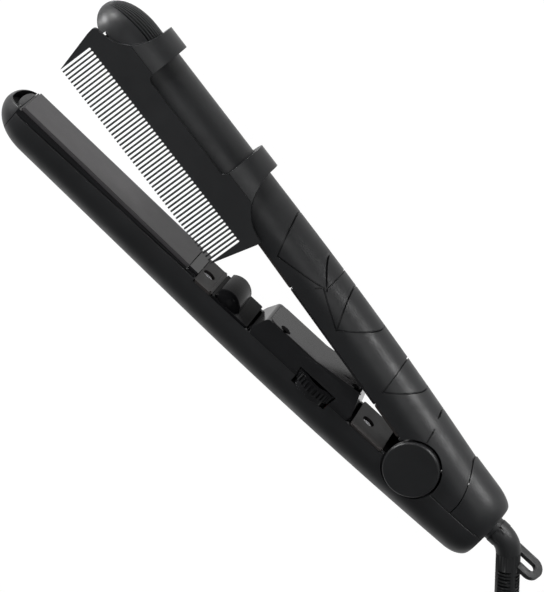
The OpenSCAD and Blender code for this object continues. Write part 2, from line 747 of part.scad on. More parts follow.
// Grooves on two sides of the relief, and half a pitch on, on the other two
module relief() {
    difference() {
        rotate([0, 90, 0]) rotate_extrude() polygon([[0, -0.5], [relief_r, -0.5], [relief_r, relief_body],
            [relief_r1, relief_len], [0, relief_len]]);
        for (i = [0:relief_grooves - 1], q = [0, 1])
            rotate([90*q, 0, 0]) groove_pair(relief_plain + groove_pitch*(i + q/2));
    }
}
module groove_pair(x) {
    deep = relief_at(x) - groove_d;
    for (s = [-1, 1]) box([x, -3, s > 0 ? deep : -9], [x + groove_pitch*0.5, 3, s > 0 ? 9 : -deep]);
}
// Flat strap for hanging, behind the elbow
loop_at = [5.3, -3.8];   // its middle, across the neck
loop_tilt = 76;
loop_root = neck_end + 5;
loop_end = 76.3;
loop_w = 11.4;
loop_hole = [12, 4.4];
loop_t = 2.4;
module hanging_loop() {
    translate([0, 0, -loop_t/2]) linear_extrude(loop_t) difference() {
        strap(loop_root, loop_end, loop_w);
        let (hole_to = loop_end - (loop_w - loop_hole[1])/2)
            strap(hole_to - loop_hole[0], hole_to, loop_hole[1]);
    }
}
module strap(from, to, w) {
    for (x = [from + w/2, to - w/2]) translate([-x, 0]) circle(w/2);
    translate([-to + w/2, -w/2]) square([to - from - w, w]);
}

// Mains lead: free stretch from the relief down to the coil
relief_out = elbow_r*(1 - cos(elbow_angle)) + relief_len*sin(elbow_angle);
relief_end = [-neck_end - elbow_r*sin(elbow_angle) - relief_len*cos(elbow_angle),
    relief_out*cos(swivel_rest), mid_z + relief_out*sin(swivel_rest)];
lead_dir = [-cos(elbow_angle), sin(elbow_angle)*cos(swivel_rest), sin(elbow_angle)*sin(swivel_rest)];
lead_points = [[-91.1, 45, 5.3], [-96, 48.4, 4.5], [-101.4, 50.6, 3.9], [-107.1, 51.6, 3.5],
    [-113, 51.5, 3.3], [-118.8, 50, 3.3], [-130.5, 45.8, 3.5], [-144, 40.9, 3.8]];
plug_lead_points = [[-181, 26.9, 10.3], [-189, 21.8, 9.5], [-197, 14.8, 8.5], [-203.6, 5.8, 7.6]];
plug_at = [-209, -5, 6.8];
plug_dir = unit([-0.32, -0.95, 0]);
module mains_cord() {
    color("black") tube(concat([relief_end, relief_end + lead_dir*2], lead_points,
        [coil_start - coil_dir*2, coil_start]), cord_r, 8);
}
module plug_lead() {
    color("black") tube(concat([coil_finish, coil_finish + coil_out_dir*2], plug_lead_points,
        [plug_at - plug_dir*3, plug_at]), cord_r, 8);
}
// Coil: in on the lower layer, up in half a turn, out on the upper layer
coil_start_a = 110;
function coil_a(u) = coil_start_a + 360*u;
half_turns = coil_turns/2;
function coil_rad(u) = coil_outer - coil_pitch*(u <= half_turns ? u : coil_turns - u);
function coil_z(u) = let (w = min(max((u - half_turns + 0.25)/0.5, 0), 1)) coil_low + coil_pitch*w;
function coil_point(u) = [coil_centre[0] + coil_rad(u)*cos(coil_a(u)),
    coil_centre[1] + coil_rad(u)*sin(coil_a(u)), coil_z(u)];
coil_count = coil_turns*coil_steps;
coil_dir = unit(coil_point(1/coil_steps) - coil_point(0));
coil_start = coil_point(0) - coil_dir*cord_d;
coil_out_dir = unit(coil_point(coil_turns) - coil_point(coil_turns - 1/coil_steps));
coil_finish = coil_point(coil_turns) + coil_out_dir*cord_d;
coil_path = concat([coil_start], [for (i = [0:coil_count]) coil_point(i/coil_steps)], [coil_finish]);
module cord_coil() { color("black") tube(coil_path, cord_r, 6); }
coil_self_gap = min([for (i = [0:2:coil_count - coil_steps/2], j = [i + coil_steps/2:2:coil_count])
    norm(coil_path[i] - coil_path[j])]) - cord_d;
echo(coil_self_gap = coil_self_gap);

// Strap tie round the bundle of turns
tie_t = 0.9;
module cord_tie() {
    span = (half_turns - 0.5)*coil_pitch;
    r0 = coil_r - cord_r - 1.5;
    r1 = coil_r + span - coil_pitch/2 + cord_r + 1;
    top = coil_low + coil_pitch + cord_r + 0.3;
    color("dimgray") translate([coil_centre[0], coil_centre[1], 0]) rotate([0, 0, -55]) difference() {
        box([r0 - tie_t, -6, 0], [r1 + tie_t, 6, top + tie_t]);
        box([r0, -7, tie_t], [r1, 7, top]);
    }
}

// Plug: flat two-pin body beside the coil
module at_plug() {
    translate([plug_at[0], plug_at[1], 0]) rotate([0, 0, atan2(plug_dir[1], plug_dir[0])]) children();
}
module plug_body() {
    color("black") at_plug() {
        translate([0, 0, plug_at[2]]) post_x(4.6, 0, 14);
        intersection() {
            box([12, -plug_w/2, 0], [12 + plug_len, plug_w/2, plug_h]);
            translate([12 + plug_len, 0, -1]) post(plug_len, 0, plug_h + 2);
        }
    }
}
module plug_pins() {
    color(steel) at_plug() for (y = [-9.3, 9.3])
        translate([0, y, plug_h/2]) post_x(2, 12 + plug_len, 31 + plug_len);
}

// Temperature wheel
module temperature_wheel() {
    rib_to = wheel_top + wheel_h*0.62;
    color(gloss_black) translate([wheel_x, 0, mid_z + wheel_z]) {
        difference() {
            union() {
                rotate([-90, 0, 0]) translate([0, 0, wheel_top]) linear_extrude(rib_to - wheel_top)
                    wheel_outline();
                post_y(wheel_r - 0.9, rib_to - eps, wheel_top + wheel_h);
            }
            post_y(6.5, wheel_top - 1, wheel_top + 2.5);
        }
        post_y(1.5, wheel_top + 2.4, wheel_top + wheel_h + 3.2);
    }
}
// Wheel's rim with one flat-topped rib per step
module wheel_outline() {
    step = 360/wheel_ribs;
    polygon([for (i = [0:wheel_ribs - 1], c = [[0, 0.8], [0.2, 0], [0.6, 0], [0.8, 0.8]])
        (wheel_r - c[1])*[cos(step*(i + c[0])), sin(step*(i + c[0]))]]);
}

// Upper arm
module upper_shell() {
    color(body_grey) difference() {
        union() {
            in_upper() difference() {
                upper_solid(0, -9);
                upper_solid(wall, -10);
            }
            in_upper() intersection() {
                upper_solid(0, 0);
                box([-8, -rim_upper, knuckle_lo], [8, 30, knuckle_hi]);
            }
            translate([0, 0, mid_z]) post(knuckle_r, knuckle_lo, knuckle_hi);
            in_upper() for (x = upper_screws_x) screw_post(x, 0, upper_back(x), panel_t + 2.2);
        }
        // Only the skirt behind the hinge stands over the rim
        in_upper() box([0, -20, -half_w - 1], [upper_tip + 2, 0, -half_w + wall + 1]);
        in_upper() box([0, -20, half_w - wall - 1], [upper_tip + 2, 0, half_w + 1]);
        in_upper() box([18, -20, -half_w - 1], [upper_tip + 2, 0, half_w + 1]);
        in_upper() box([14.5, -1, -half_w - 1], [holder_start - 0.3, panel_t + 0.05, half_w + 1]);
        // Behind the hinge the open arm rests on the lower rim
        translate([-60, rim_lower - clear, -1]) cube([60, 40, 2*mid_z + 2]);
        translate([0, 0, mid_z]) {
            post(pin_r + run_fit, -half_w, half_w);
            post(hole_r, knuckle_hi + eps, half_w + 1);
            post(hole_r, -half_w - 1, knuckle_lo - eps);
            difference() {
                post(80, -half_w - 1, half_w + 1);
                post(tail_arc - 0.4, -half_w - 2, half_w + 2);
                rotate([0, 0, -open_angle]) box([-tail_arc*0.35, -60, -20], [300, 60, 20]);
            }
        }
    }
}
// Long ribbed nose of the upper arm
module upper_tip_cap() {
    color(body_grey) in_upper() difference() {
        union() {
            skin([for (x = [upper_tip + seam, nose_start])
                arm_ring(x, 0, upper_back(x), half_w, back_h, 0)]);
            nose(nose_start - eps, upper_back(nose_start - eps), upper_taper, upper_len);
            box([upper_tip - 3, 9.5, -4], [upper_tip + 1, 12.4, 4]);
        }
        for (i = [-4:4]) rib_groove(i*9.5);
        box([upper_tip - 4, -6, -half_w], [lower_tip + seam, -0.01, half_w]);
        box([upper_tip, -6, -half_w + wall], [nose_start - 0.8, 2.4, half_w - wall]);
        box([upper_tip, -6, -plate_w/2 - 0.4], [lower_tip + seam, 3, plate_w/2 + 0.4]);
        box([upper_tip, -6, -11.2], [lower_tip + seam, 7.4, 11.2]);
    }
}
// Groove along the ribbed back, at an angle round it
module rib_groove(a) {
    x0 = upper_tip + 2;
    d = upper_back(x0 + 10);
    translate([x0, d - back_h, 0]) rotate([a, 0, 0]) rotate([0, 0, -upper_taper])
        box([0, back_h - 0.7 + abs(a)*0.004, -0.45], [14, back_h + 3, 0.45]);
}
// Covers and pocket on the inner face of the upper arm
pocket_rear = housing_rear - 1.5;
pocket_front = housing_front + 1.5;
pocket_depth = 6;
module upper_front_panel() {
    color(panel_grey) in_upper() difference() {
        union() {
            cover_sheet(pocket_front + 0.3, holder_start - 0.3, 1.2);
            translate([upper_screws_x[0], 0, 0]) post_y(4.2, 0, panel_t + 2.1);
        }
        screw_hole(upper_screws_x[0], 0, 0, panel_t + 2.1);
    }
}
module upper_rear_panel() {
    color(panel_grey) in_upper() difference() {
        union() {
            cover_sheet(14.9, pocket_rear - 0.3, 1.2);
            translate([upper_screws_x[1], 0, 0]) post_y(4.2, 0, panel_t + 2.1);
        }
        screw_hole(upper_screws_x[1], 0, 0, panel_t + 2.1);
        translate([0, -rim_upper, 0]) post(hole_r + 0.3, -half_w - 1, half_w + 1);
    }
}
// Open tray that takes the control housing when the arms close
module upper_pocket() {
    inner = half_w - wall - 0.2;
    color(gloss_black) in_upper() difference() {
        union() {
            rotate([-90, 0, 0]) linear_extrude(panel_t) translate([pocket_rear, -half_w + 0.1])
                rounded(pocket_front - pocket_rear, arm_w - 0.2, 1.2);
            box([pocket_rear + 1, 0.5, -inner], [pocket_front - 1, pocket_depth + 0.6, inner]);
        }
        box([pocket_rear + 2, -1, -inner + 0.5], [pocket_front - 1.6, pocket_depth, inner - 0.5]);
    }
}
module upper_screws() {
    color(steel) in_upper() for (x = upper_screws_x) screw(x, 0, 1.0, 7.5);
}
module upper_leads() {
    color(lead_red) in_upper() for (s = [-1, 1])
        tube(lead_on(1.9, [for (i = [0:5]) let (x = 12 + i*(holder_start - 11)/5)
            [x, upper_back(x), 4.6*s]]), 0.9, 6);
}
fuse_x = holder_start - 55;
module thermal_fuse() {
    color("white") in_upper() translate([0, upper_back(fuse_x) - wall - 1.4, 0])
        post_x(1.2, fuse_x - 6, fuse_x + 6);
}

// Comb
// Side plate with teeth and two collars round the arm, in one moulding
module comb_attachment() {
    color(body_grey) in_comb() {
        translate([0, 0, comb_in]) linear_extrude(comb_t) comb_outline();
        for (x = [front_collar, rear_collar]) collar(x, collar_w);
        intersection() {
            union() {
                collar(front_collar + 1, collar_w + 9);
                collar(rear_collar - 9, collar_w + 8);
            }
            translate([0, 0, 8]) linear_extrude(half_w) comb_flanks();
        }
    }
}
front_edge = front_collar + collar_w;
flank = [20.7, 20.5];    // size of the curved flanks from collar to guard
rear_flank = [21.5, 22.5];
function quarter(c, size, from, to) =
    [for (a = [from:10:to]) [c[0] + size[0]*cos(a), c[1] + size[1]*sin(a)]];
front_curve = quarter([front_edge + flank[0], comb_root - 28], flank, 90, 180);
rear_curve = quarter([rear_collar - rear_flank[0], comb_root - 30], rear_flank, 0, 90);
// Outline with both curved flanks, filled down to the back of the collars
module comb_flanks() {
    polygon(concat([[comb_end + 0.2, comb_root + tooth_len], [comb_end + 5.3, comb_root - 3]],
        front_curve, [[front_edge, -60], [rear_collar, -60]], rear_curve,
        [[comb_start - 5.6, comb_root - 5.2], [comb_start - 0.4, comb_root + tooth_len]]));
}
module comb_outline() {
    difference() {
        intersection() {
            comb_flanks();
            translate([0, window_y - 3]) square([comb_end + 50, 60]);
        }
        translate([rear_collar + collar_w, window_y - 8]) {
            square([front_collar - rear_collar - collar_w, 8 - 3]);
            rounded(front_collar - rear_collar - collar_w, 8, 3);
        }
        for (i = [0:teeth]) translate([comb_start + i*(slot_w + tooth_w), comb_root]) polygon(slot);
    }
}
// Section of a collar: near side, back and far side of the arm
module collar(x, w) {
    translate([x, 0, 0]) rotate([90, 0, 90]) linear_extrude(w) difference() {
        union() {
            translate([-comb_wall, 0])
                collar_round(back_h + collar_t, comb_in + comb_t, half_w + cap_proud);
            translate([-comb_wall - 1, comb_in]) square([6, comb_t]);
            translate([-comb_wall - 1, -half_w - cap_proud]) square([6, cap_proud - clear]);
        }
        translate([-comb_wall, 0]) collar_round(back_h + clear, comb_in, comb_in);
        translate([-comb_wall - eps, -comb_in]) square([20, 2*comb_in]);
    }
}
// Half an ellipse towards -y, its two half-widths given
module collar_round(h, near, far) {
    polygon([for (a = [0:6:180]) let (w = a < 90 ? near : far) [-h*sin(a), w*cos(a)]]);
}

lower_shell();
lower_tip_cap();
rear_cap();
lower_plate_holder();
lower_plate_pads();
front_panel();
guide_block();
control_housing();
control_cover();
rear_panel();
cover_screws();
potentiometer();
control_board();
indicator_light();
lower_leads();
mains_leads();
hinge_pin();
near_hinge_cap();
far_hinge_cap();
hinge_spring();
hinge_washers();
swivel_socket();
swivel_contacts();
lower_plate();
lower_heat_carrier();
lower_heater();
plate_sensor();
upper_shell();
upper_tip_cap();
upper_plate_holder();
upper_plate_pads();
upper_front_panel();
upper_pocket();
upper_rear_panel();
upper_screws();
upper_leads();
thermal_fuse();
upper_plate();
upper_heat_carrier();
upper_heater();
comb_attachment();
temperature_wheel();
swivel_neck();
cord_boot();
boot_contacts();
mains_cord();
plug_lead();
cord_coil();
cord_tie();
plug_body();
plug_pins();
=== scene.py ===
"""Hair straightener lying on its side, open, with a slide-off comb, edge wheel and mains lead."""

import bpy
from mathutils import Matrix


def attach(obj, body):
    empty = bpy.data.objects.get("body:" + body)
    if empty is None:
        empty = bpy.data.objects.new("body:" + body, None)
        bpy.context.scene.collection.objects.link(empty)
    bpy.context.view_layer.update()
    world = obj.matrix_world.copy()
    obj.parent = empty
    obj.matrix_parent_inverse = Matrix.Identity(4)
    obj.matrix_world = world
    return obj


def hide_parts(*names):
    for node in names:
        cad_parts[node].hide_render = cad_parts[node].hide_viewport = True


bl_info = {
    "name": "Hair Straightener",
    "version": (1, 0, 0),
    "blender": (4, 5, 0),
    "location": "View3D > Sidebar > Straightener",
    "description": "Builds the looks of a hair straightener round its fixed frame",
    "category": "Add Mesh",
}

from math import atan2, cos, degrees, pi, radians, sin, sqrt, tan

import bmesh
import bpy
from bpy.props import FloatProperty, FloatVectorProperty, PointerProperty
from bpy.types import Operator, Panel, PropertyGroup
from mathutils import Matrix, Vector

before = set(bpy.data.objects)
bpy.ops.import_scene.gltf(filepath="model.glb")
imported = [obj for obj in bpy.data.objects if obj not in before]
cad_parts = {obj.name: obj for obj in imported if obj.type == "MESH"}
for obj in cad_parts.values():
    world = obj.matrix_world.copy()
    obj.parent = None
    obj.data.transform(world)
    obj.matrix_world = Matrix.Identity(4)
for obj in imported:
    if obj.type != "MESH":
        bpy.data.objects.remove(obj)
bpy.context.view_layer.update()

# Lengths are in millimetres, or in metres where a name ends in _m, in the user's sizes and in
# finished pieces. The hinge's axis stands at the origin and x runs to the noses.
MM = 0.001
OPEN_ANGLE = 12.4

# Arms: the rims' distance from the axis, middle plane, half width, wall and height of the back
RIM_LOWER, RIM_UPPER = 3.0, 3.4
MID_Z = 16.5
HALF_W = 15.0
WIDE = HALF_W + 1  # for cutters that go through both sides
WALL = 1.8
BACK_H = 14.5
BACK_STEPS = 48
# The user's depths hold at TAPER_FROM; a taper in degrees and a bow change them along the arm
TAPER_FROM = 120.0
LOWER_TAPER, LOWER_BOW = 1.6, 0.00021
UPPER_TAPER, UPPER_BOW = 1.95, 0.00026

# Tail: its length, the stretch that narrows to a blunt end, the close stations there, the seam
TAIL_LEN = 44.5
TAIL_ROUND, TAIL_BLUNT = 10, 0.62
TAIL_CLOSE, TAIL_STATIONS = 12.25, 16
END_ROUND = 0.7
SEAM_R, SEAM_GAP = 26.0, 0.4
REAR_DEPTH, REAR_DEPTH_AT, REAR_SLOPE = 17.6, -24, 0.2
NECK_HOLE_R = 6.0

# Noses: their start, the level and rise of their rims, the shells' ends and the noses' ends
NOSE_START, NOSE_LEVEL, NOSE_RISE = 222.0, 2.0, 3.2
LOWER_TIP, UPPER_TIP, TIP_GAP = 233.5, 216.0, 0.2
LOWER_REACH, LOWER_END, UPPER_END = 242.0, 241.85, 243.35

# Room in the shells for the covers, the plates' holders and the wheel
COVER_FROM, COVER_TO, COVER_DEPTH = 14.5, 126.7, 1.25
HOLDER_HALF = 12.9
WHEEL_X, WHEEL_Z, WHEEL_HOLE_R, WHEEL_LOW, WHEEL_HIGH = 55.8, 9.2, 11.2, -4, 4.5

# Hinge: cap holes, the lower arm's ears, the upper arm's knuckle and skirt, the pin
CAP_HOLE_R, FAR_HOLE_R = 13.9, 13.15
EAR_R, EAR_IN, EAR_OUT, EAR_WEB = 11.0, 8.0, 13.4, 9.5
KNUCKLE_R, KNUCKLE_LO, KNUCKLE_HI, KNUCKLE_HALF = 9.5, -7.5, 1.8, 8
SKIRT_TO, REST_GAP = 18, 0.3
PIN_R, PIN_FIT = 3.0, 0.05

# Keeps apart faces that would meet in one plane, where a cut or union can fail
APART = 0.05

IN_LOWER = Matrix.Translation((0, RIM_LOWER, MID_Z))
IN_UPPER = (
    Matrix.Rotation(radians(-OPEN_ANGLE), 4, "Z")
    @ Matrix.Translation((0, -RIM_UPPER, MID_Z))
    @ Matrix.Scale(-1, 4, (0, 1, 0))
)
ON_HINGE = Matrix.Translation((0, 0, MID_Z))
IN_TAIL = ON_HINGE @ Matrix.Scale(-1, 4, (0, 1, 0))
OPENED = Matrix.Rotation(radians(-OPEN_ANGLE), 4, "Z") @ ON_HINGE
IN_COMB = Matrix.Rotation(radians(-10.45), 4, "Z") @ ON_HINGE


# Sizes and finishes that a user would change


class StraightenerSizes(PropertyGroup):
    lower_depth: FloatProperty(
        name="Lower depth", description="Depth of the lower arm behind its plate",
        default=0.019, unit="LENGTH")
    upper_depth: FloatProperty(
        name="Upper depth", description="Depth of the upper arm behind its plate",
        default=0.0185, unit="LENGTH")
    edge: FloatProperty(
        name="Edge rounding", description="Rounding of the moulded edges",
        default=0.00035, unit="LENGTH")
    groove_width: FloatProperty(
        name="Groove width", description="Width of the grooves in the grip",
        default=0.0007, unit="LENGTH")
    groove_depth: FloatProperty(
        name="Groove depth", description="Depth of the grooves in the grip",
        default=0.0008, unit="LENGTH")
    cord_diameter: FloatProperty(
        name="Lead diameter", description="Diameter of the mains lead",
        default=0.006, unit="LENGTH")


class StraightenerFinishes(PropertyGroup):
    body: FloatVectorProperty(
        name="Body", description="Moulded shells, matt", subtype="COLOR", size=3,
        default=(0.0125, 0.0128, 0.0135))
    gloss: FloatVectorProperty(
        name="Gloss", description="Polished inner parts", subtype="COLOR", size=3,
        default=(0.006, 0.006, 0.0065))
    panel: FloatVectorProperty(
        name="Panels", description="Inner covers", subtype="COLOR", size=3,
        default=(0.030, 0.027, 0.026))
    plate: FloatVectorProperty(
        name="Plates", description="Ceramic coat of the heating plates", subtype="COLOR",
        size=3, default=(0.056, 0.053, 0.055))
    lead: FloatVectorProperty(
        name="Lead", description="Sheath of the mains lead", subtype="COLOR", size=3,
        default=(0.010, 0.010, 0.011))


class StraightenerStage(PropertyGroup):
    key_power: FloatProperty(
        name="Key light", description="Power of the light over the tail", default=0.08,
        unit="POWER")
    fill_power: FloatProperty(
        name="Fill light", description="Power of the light beside the camera", default=1.5,
        unit="POWER")
    front_power: FloatProperty(
        name="Front light", description="Power of the light in front of the noses", default=0.5,
        unit="POWER")
    nose_power: FloatProperty(
        name="Nose light", description="Power of the light over the upper nose", default=0.03,
        unit="POWER")
    world_strength: FloatProperty(
        name="Room light", description="Strength of the even light of the room", default=0.24)


def sizes():
    return bpy.context.scene.straightener_sizes


def colours():
    return bpy.context.scene.straightener_finishes


# Profiles of the arms


def back_at(x, depth, taper, bow):
    """Depth of an arm's back under its rim, at x."""
    return depth + (TAPER_FROM - x) * tan(radians(taper)) - bow * max(TAPER_FROM - x, 0) ** 2


def lower_back(x):
    return back_at(x, sizes().lower_depth / MM, LOWER_TAPER, LOWER_BOW)


def upper_back(x):
    return back_at(x, sizes().upper_depth / MM, UPPER_TAPER, UPPER_BOW)


def at_least(least, share):
    """A share from 0 to 1, laid out from the least one to 1."""
    return least + (1 - least) * share


def nose_part(x, reach):
    """How far x is along a nose, from 0 at its start to 1 at its end."""
    return min(max(x - NOSE_START, 0) / (reach - NOSE_START), 1)


def nose_full(x, reach):
    """Share of the full section that a nose still has at x."""
    return sqrt(1 - nose_part(x, reach) ** 2)


def nose_depth(x, depth, reach):
    return NOSE_LEVEL + (depth - NOSE_LEVEL) * nose_full(x, reach)


def tail_full(x):
    """Share of the full section that the tail still has at x."""
    part = min(max(-x - (TAIL_LEN - TAIL_ROUND), 0) / TAIL_ROUND, 1)
    return at_least(TAIL_BLUNT, sqrt(1 - part**2))


def half_at(x, reach):
    """Half width of an arm at x, narrower round its nose and its tail."""
    return HALF_W * sqrt(1 - nose_part(x, reach) ** 3) * at_least(0.2, tail_full(x))


def arm_section(x, top, depth, half, round_h, t=0.0, rim=0.0, steps=BACK_STEPS, dent=None):
    """Closed section of an arm: rounded rim, side wall, rounded back, and the other side."""
    rim = min(rim, half / 4)
    if rim > 0:
        near = [(top + rim * (1 - cos(b)), half - t - rim * (1 - sin(b)))
                for b in (0, pi / 8, pi / 4, 3 * pi / 8, pi / 2)]
    else:
        near = [(top, half - t)]
    back = []
    for i in range(steps + 1):
        a = pi * i / steps
        reach = 1 - (dent(a) / round_h if dent else 0)
        back.append((depth - round_h + (round_h - t) * sin(a) * reach,
                     (half - t) * cos(a) * reach))
    far = [(y, -z) for y, z in reversed(near)]
    return [(x, y, z) for y, z in near + back + far]


# Solids in mesh code


def outward(bm):
    """Turns every face of a closed mesh outwards."""
    bmesh.ops.recalc_face_normals(bm, faces=bm.faces)
    if bm.calc_volume(signed=True) < 0:
        bmesh.ops.reverse_faces(bm, faces=bm.faces)
    return bm


def loft(rows, transform):
    """Closed solid through sections of equal count."""
    around, along = len(rows[0]), len(rows)
    bm = bmesh.new()
    bmesh.ops.create_grid(bm, x_segments=around, y_segments=along - 1, size=1.0)
    for v in bm.verts:
        i = round((v.co.x + 1) / 2 * around) % around
        j = round((v.co.y + 1) / 2 * (along - 1))
        v.co = rows[j][i]
    bmesh.ops.remove_doubles(bm, verts=bm.verts, dist=1e-4)
    bmesh.ops.holes_fill(bm, edges=[e for e in bm.edges if e.is_boundary], sides=0)
    bm.transform(transform)
    return outward(bm)


def block(low, high, transform=Matrix()):
    """Box between two corners of the given frame."""
    bm = bmesh.new()
    low, high = Vector(low), Vector(high)
    place = Matrix.Translation((low + high) / 2) @ Matrix.Diagonal((*(high - low), 1))
    bmesh.ops.create_cube(bm, size=1.0, matrix=transform @ place)
    return outward(bm)


def rod(radius, low, high, transform=Matrix(), axis="Z", segments=96):
    """Cylinder between two levels along an axis of the given frame."""
    turn = {"X": Matrix.Rotation(pi / 2, 4, "Y"), "Y": Matrix.Rotation(-pi / 2, 4, "X"),
            "Z": Matrix()}
    bm = bmesh.new()
    bmesh.ops.create_cone(
        bm, cap_ends=True, segments=segments, radius1=radius, radius2=radius, depth=high - low,
        matrix=transform @ turn[axis] @ Matrix.Translation((0, 0, (low + high) / 2)))
    return outward(bm)


def joined(parts):
    """Several solids in one mesh."""
    bm = bmesh.new()
    for part in parts:
        mesh = bpy.data.meshes.new("part")
        part.to_mesh(mesh)
        part.free()
        bm.from_mesh(mesh)
        bpy.data.meshes.remove(mesh)
    return bm


def as_object(bm, name):
    mesh = bpy.data.meshes.new(name)
    bm.to_mesh(mesh)
    bm.free()
    obj = bpy.data.objects.new(name, mesh)
    bpy.context.scene.collection.objects.link(obj)
    return obj


def carved(bm, steps):
    """A solid with others joined to it, cut from it or shared with it, in order."""
    base = as_object(bm, "carved")
    others = []
    for operation, other in steps:
        others.append(as_object(other, "tool"))
        mod = base.modifiers.new(operation, "BOOLEAN")
        mod.operation = operation
        mod.object = others[-1]
        mod.solver = "EXACT"
    depsgraph = bpy.context.evaluated_depsgraph_get()
    result = bmesh.new()
    mesh = bpy.data.meshes.new_from_object(base.evaluated_get(depsgraph))
    result.from_mesh(mesh)
    bpy.data.meshes.remove(mesh)
    for obj in [base, *others]:
        mesh = obj.data
        bpy.data.objects.remove(obj)
        bpy.data.meshes.remove(mesh)
    bmesh.ops.remove_doubles(result, verts=result.verts, dist=1e-3)
    return outward(result)


def add(*tools):
    return [("UNION", tool) for tool in tools]


def cut(*tools):
    return [("DIFFERENCE", tool) for tool in tools]


def cad_copy(node):
    """A CAD node's mesh, merged and freed of the edges inside its flat faces."""
    bm = bmesh.new()
    bm.from_mesh(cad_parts[node].data)
    bm.transform(Matrix.Scale(1 / MM, 4))
    bmesh.ops.remove_doubles(bm, verts=bm.verts, dist=2e-3)
    bmesh.ops.dissolve_limit(bm, angle_limit=radians(0.5), verts=bm.verts, edges=bm.edges)
    return bm


def round_edges(bm, width, angle=28, where=None, segments=2):
    """Rounds the edges sharper than an angle, all of them or where a test of their middle says."""
    edges = [e for e in bm.edges if len(e.link_faces) == 2
             and e.calc_face_angle() > radians(angle)
             and (where is None or where((e.verts[0].co + e.verts[1].co) / 2))]
    bmesh.ops.bevel(bm, geom=edges, offset=width, offset_type="OFFSET", segments=segments,
                    profile=0.5, affect="EDGES", clamp_overlap=True, material=-1)
    return bm


def tube(points, radius, sides=16):
    """Closed round tube along points, its sections square to the path."""
    points = [Vector(p) for p in points]
    rows = []
    for i, p in enumerate(points):
        along = (points[min(i + 1, len(points) - 1)] - points[max(i - 1, 0)]).normalized()
        across = along.cross(Vector((0, 0, 1))).normalized()
        side = Vector((1, 0, 0)) if abs(along.z) > 0.95 else across
        up = side.cross(along)
        rows.append([p + radius * (cos(2 * pi * j / sides) * side + sin(2 * pi * j / sides) * up)
                     for j in range(sides)])
    return loft(rows, Matrix())


def smooth_path(points, step):
    """Points along a smooth curve through the given ones, about a step apart."""
    pts = [Vector(p) for p in points]
    pts = [2 * pts[0] - pts[1], *pts, 2 * pts[-1] - pts[-2]]
    out = []
    for a, b, c, d in zip(pts, pts[1:], pts[2:], pts[3:]):
        n = max(1, round((c - b).length / step))
        for k in range(n):
            t = k / n
            out.append(0.5 * (2 * b + (c - a) * t + (2 * a - 5 * b + 4 * c - d) * t * t
                              + (3 * b - a - 3 * c + d) * t**3))
    out.append(pts[-2])
    return out


SHARP_FROM = 35


def finish_piece(name, bm, material, body, nodes, flats=False):
    """Makes a piece from millimetres, smooth but for its sharp edges, and puts it in the frame."""
    bm.transform(Matrix.Scale(MM, 4))
    obj = as_object(bm, name)
    obj.data.polygons.foreach_set("use_smooth", [True] * len(obj.data.polygons))
    obj.data.set_sharp_from_angle(angle=radians(SHARP_FROM))
    if flats:
        even = obj.modifiers.new("even_flats", "WEIGHTED_NORMAL")
        even.keep_sharp = True
    obj.data.materials.append(material)
    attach(obj, body)
    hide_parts(*nodes)
    return obj


# Finishes


def fill(tree, node, inputs):
    """Gives a node's inputs, by name or number, a constant or another node's output."""
    for key, value in inputs.items():
        if isinstance(value, bpy.types.NodeSocket):
            tree.links.new(value, node.inputs[key])
        else:
            node.inputs[key].default_value = value
    return node


def add_node(tree, kind, inputs, **settings):
    node = tree.nodes.new("ShaderNode" + kind)
    for name, value in settings.items():
        setattr(node, name, value)
    return fill(tree, node, inputs)


def surface(name, colour, roughness, grain, metallic=0.0, tint=0.12, smear=0.06,
            stretch=(1, 1, 1), coat=0.0, specular=0.5, speck=0.0, scratches=0.0):
    """Procedural finish: uneven tint and gloss, a grain (depth, scale), specks and scratches."""
    found = bpy.data.materials.get(name)
    if found:
        return found
    material = bpy.data.materials.new(name)
    material.use_nodes = True
    tree = material.node_tree
    place = add_node(tree, "TexCoord", {}).outputs["Object"]

    def scaled(scale):
        return add_node(tree, "Mapping", {"Vector": place, "Scale": scale}).outputs["Vector"]

    stretched = scaled(stretch)

    def noise(scale, detail, rough=0.55, at=stretched):
        return add_node(tree, "TexNoise", {
            "Vector": at, "Scale": scale, "Detail": detail, "Roughness": rough}).outputs["Fac"]

    def ranged(value, low, high, start=0.3, end=0.7):
        return add_node(tree, "MapRange", {
            "Value": value, "From Min": start, "From Max": end, "To Min": low,
            "To Max": high}).outputs["Result"]

    ramp = add_node(tree, "ValToRGB", {"Fac": noise(38.0, 5.0)})
    dark, light = ramp.color_ramp.elements
    dark.position, dark.color = 0.3, (*[c * (1 - tint) for c in colour], 1)
    light.position, light.color = 0.72, (*[c * (1 + tint) for c in colour], 1)
    base = ramp.outputs["Color"]
    if speck:
        dots = ranged(noise(2600.0, 1.0), 0.0, 1.0, 0.68, 0.74)
        bright = (*[min(1.0, c + speck) for c in colour], 1)
        base = add_node(tree, "Mix", {"Factor": dots, "A": base, "B": bright},
                        data_type="RGBA").outputs["Result"]
    gloss = ranged(noise(120.0, 6.0, 0.6), max(0.02, roughness - smear),
                   min(1.0, roughness + smear))
    if scratches:
        lines = ranged(noise(900.0, 2.0, 0.5, scaled((0.03, 1.0, 1.0))), 0.0, 1.0, 0.55, 0.8)
        gloss = add_node(tree, "Math", {0: lines, 1: scratches, 2: gloss},
                         operation="MULTIPLY_ADD").outputs["Value"]
    strength, scale = grain
    bump = add_node(tree, "Bump", {
        "Strength": strength, "Distance": 0.00005, "Height": noise(scale, 3.0, 0.6)})
    fill(tree, tree.nodes["Principled BSDF"], {
        "Base Color": base, "Roughness": gloss, "Metallic": metallic, "Coat Weight": coat,
        "Coat Roughness": 0.06, "Specular IOR Level": specular,
        "Normal": bump.outputs["Normal"]})
    return material


def body_plastic():
    return surface("moulded_body", colours().body, 0.42, grain=(0.35, 3200.0),
                   specular=0.32, tint=0.18, smear=0.07)


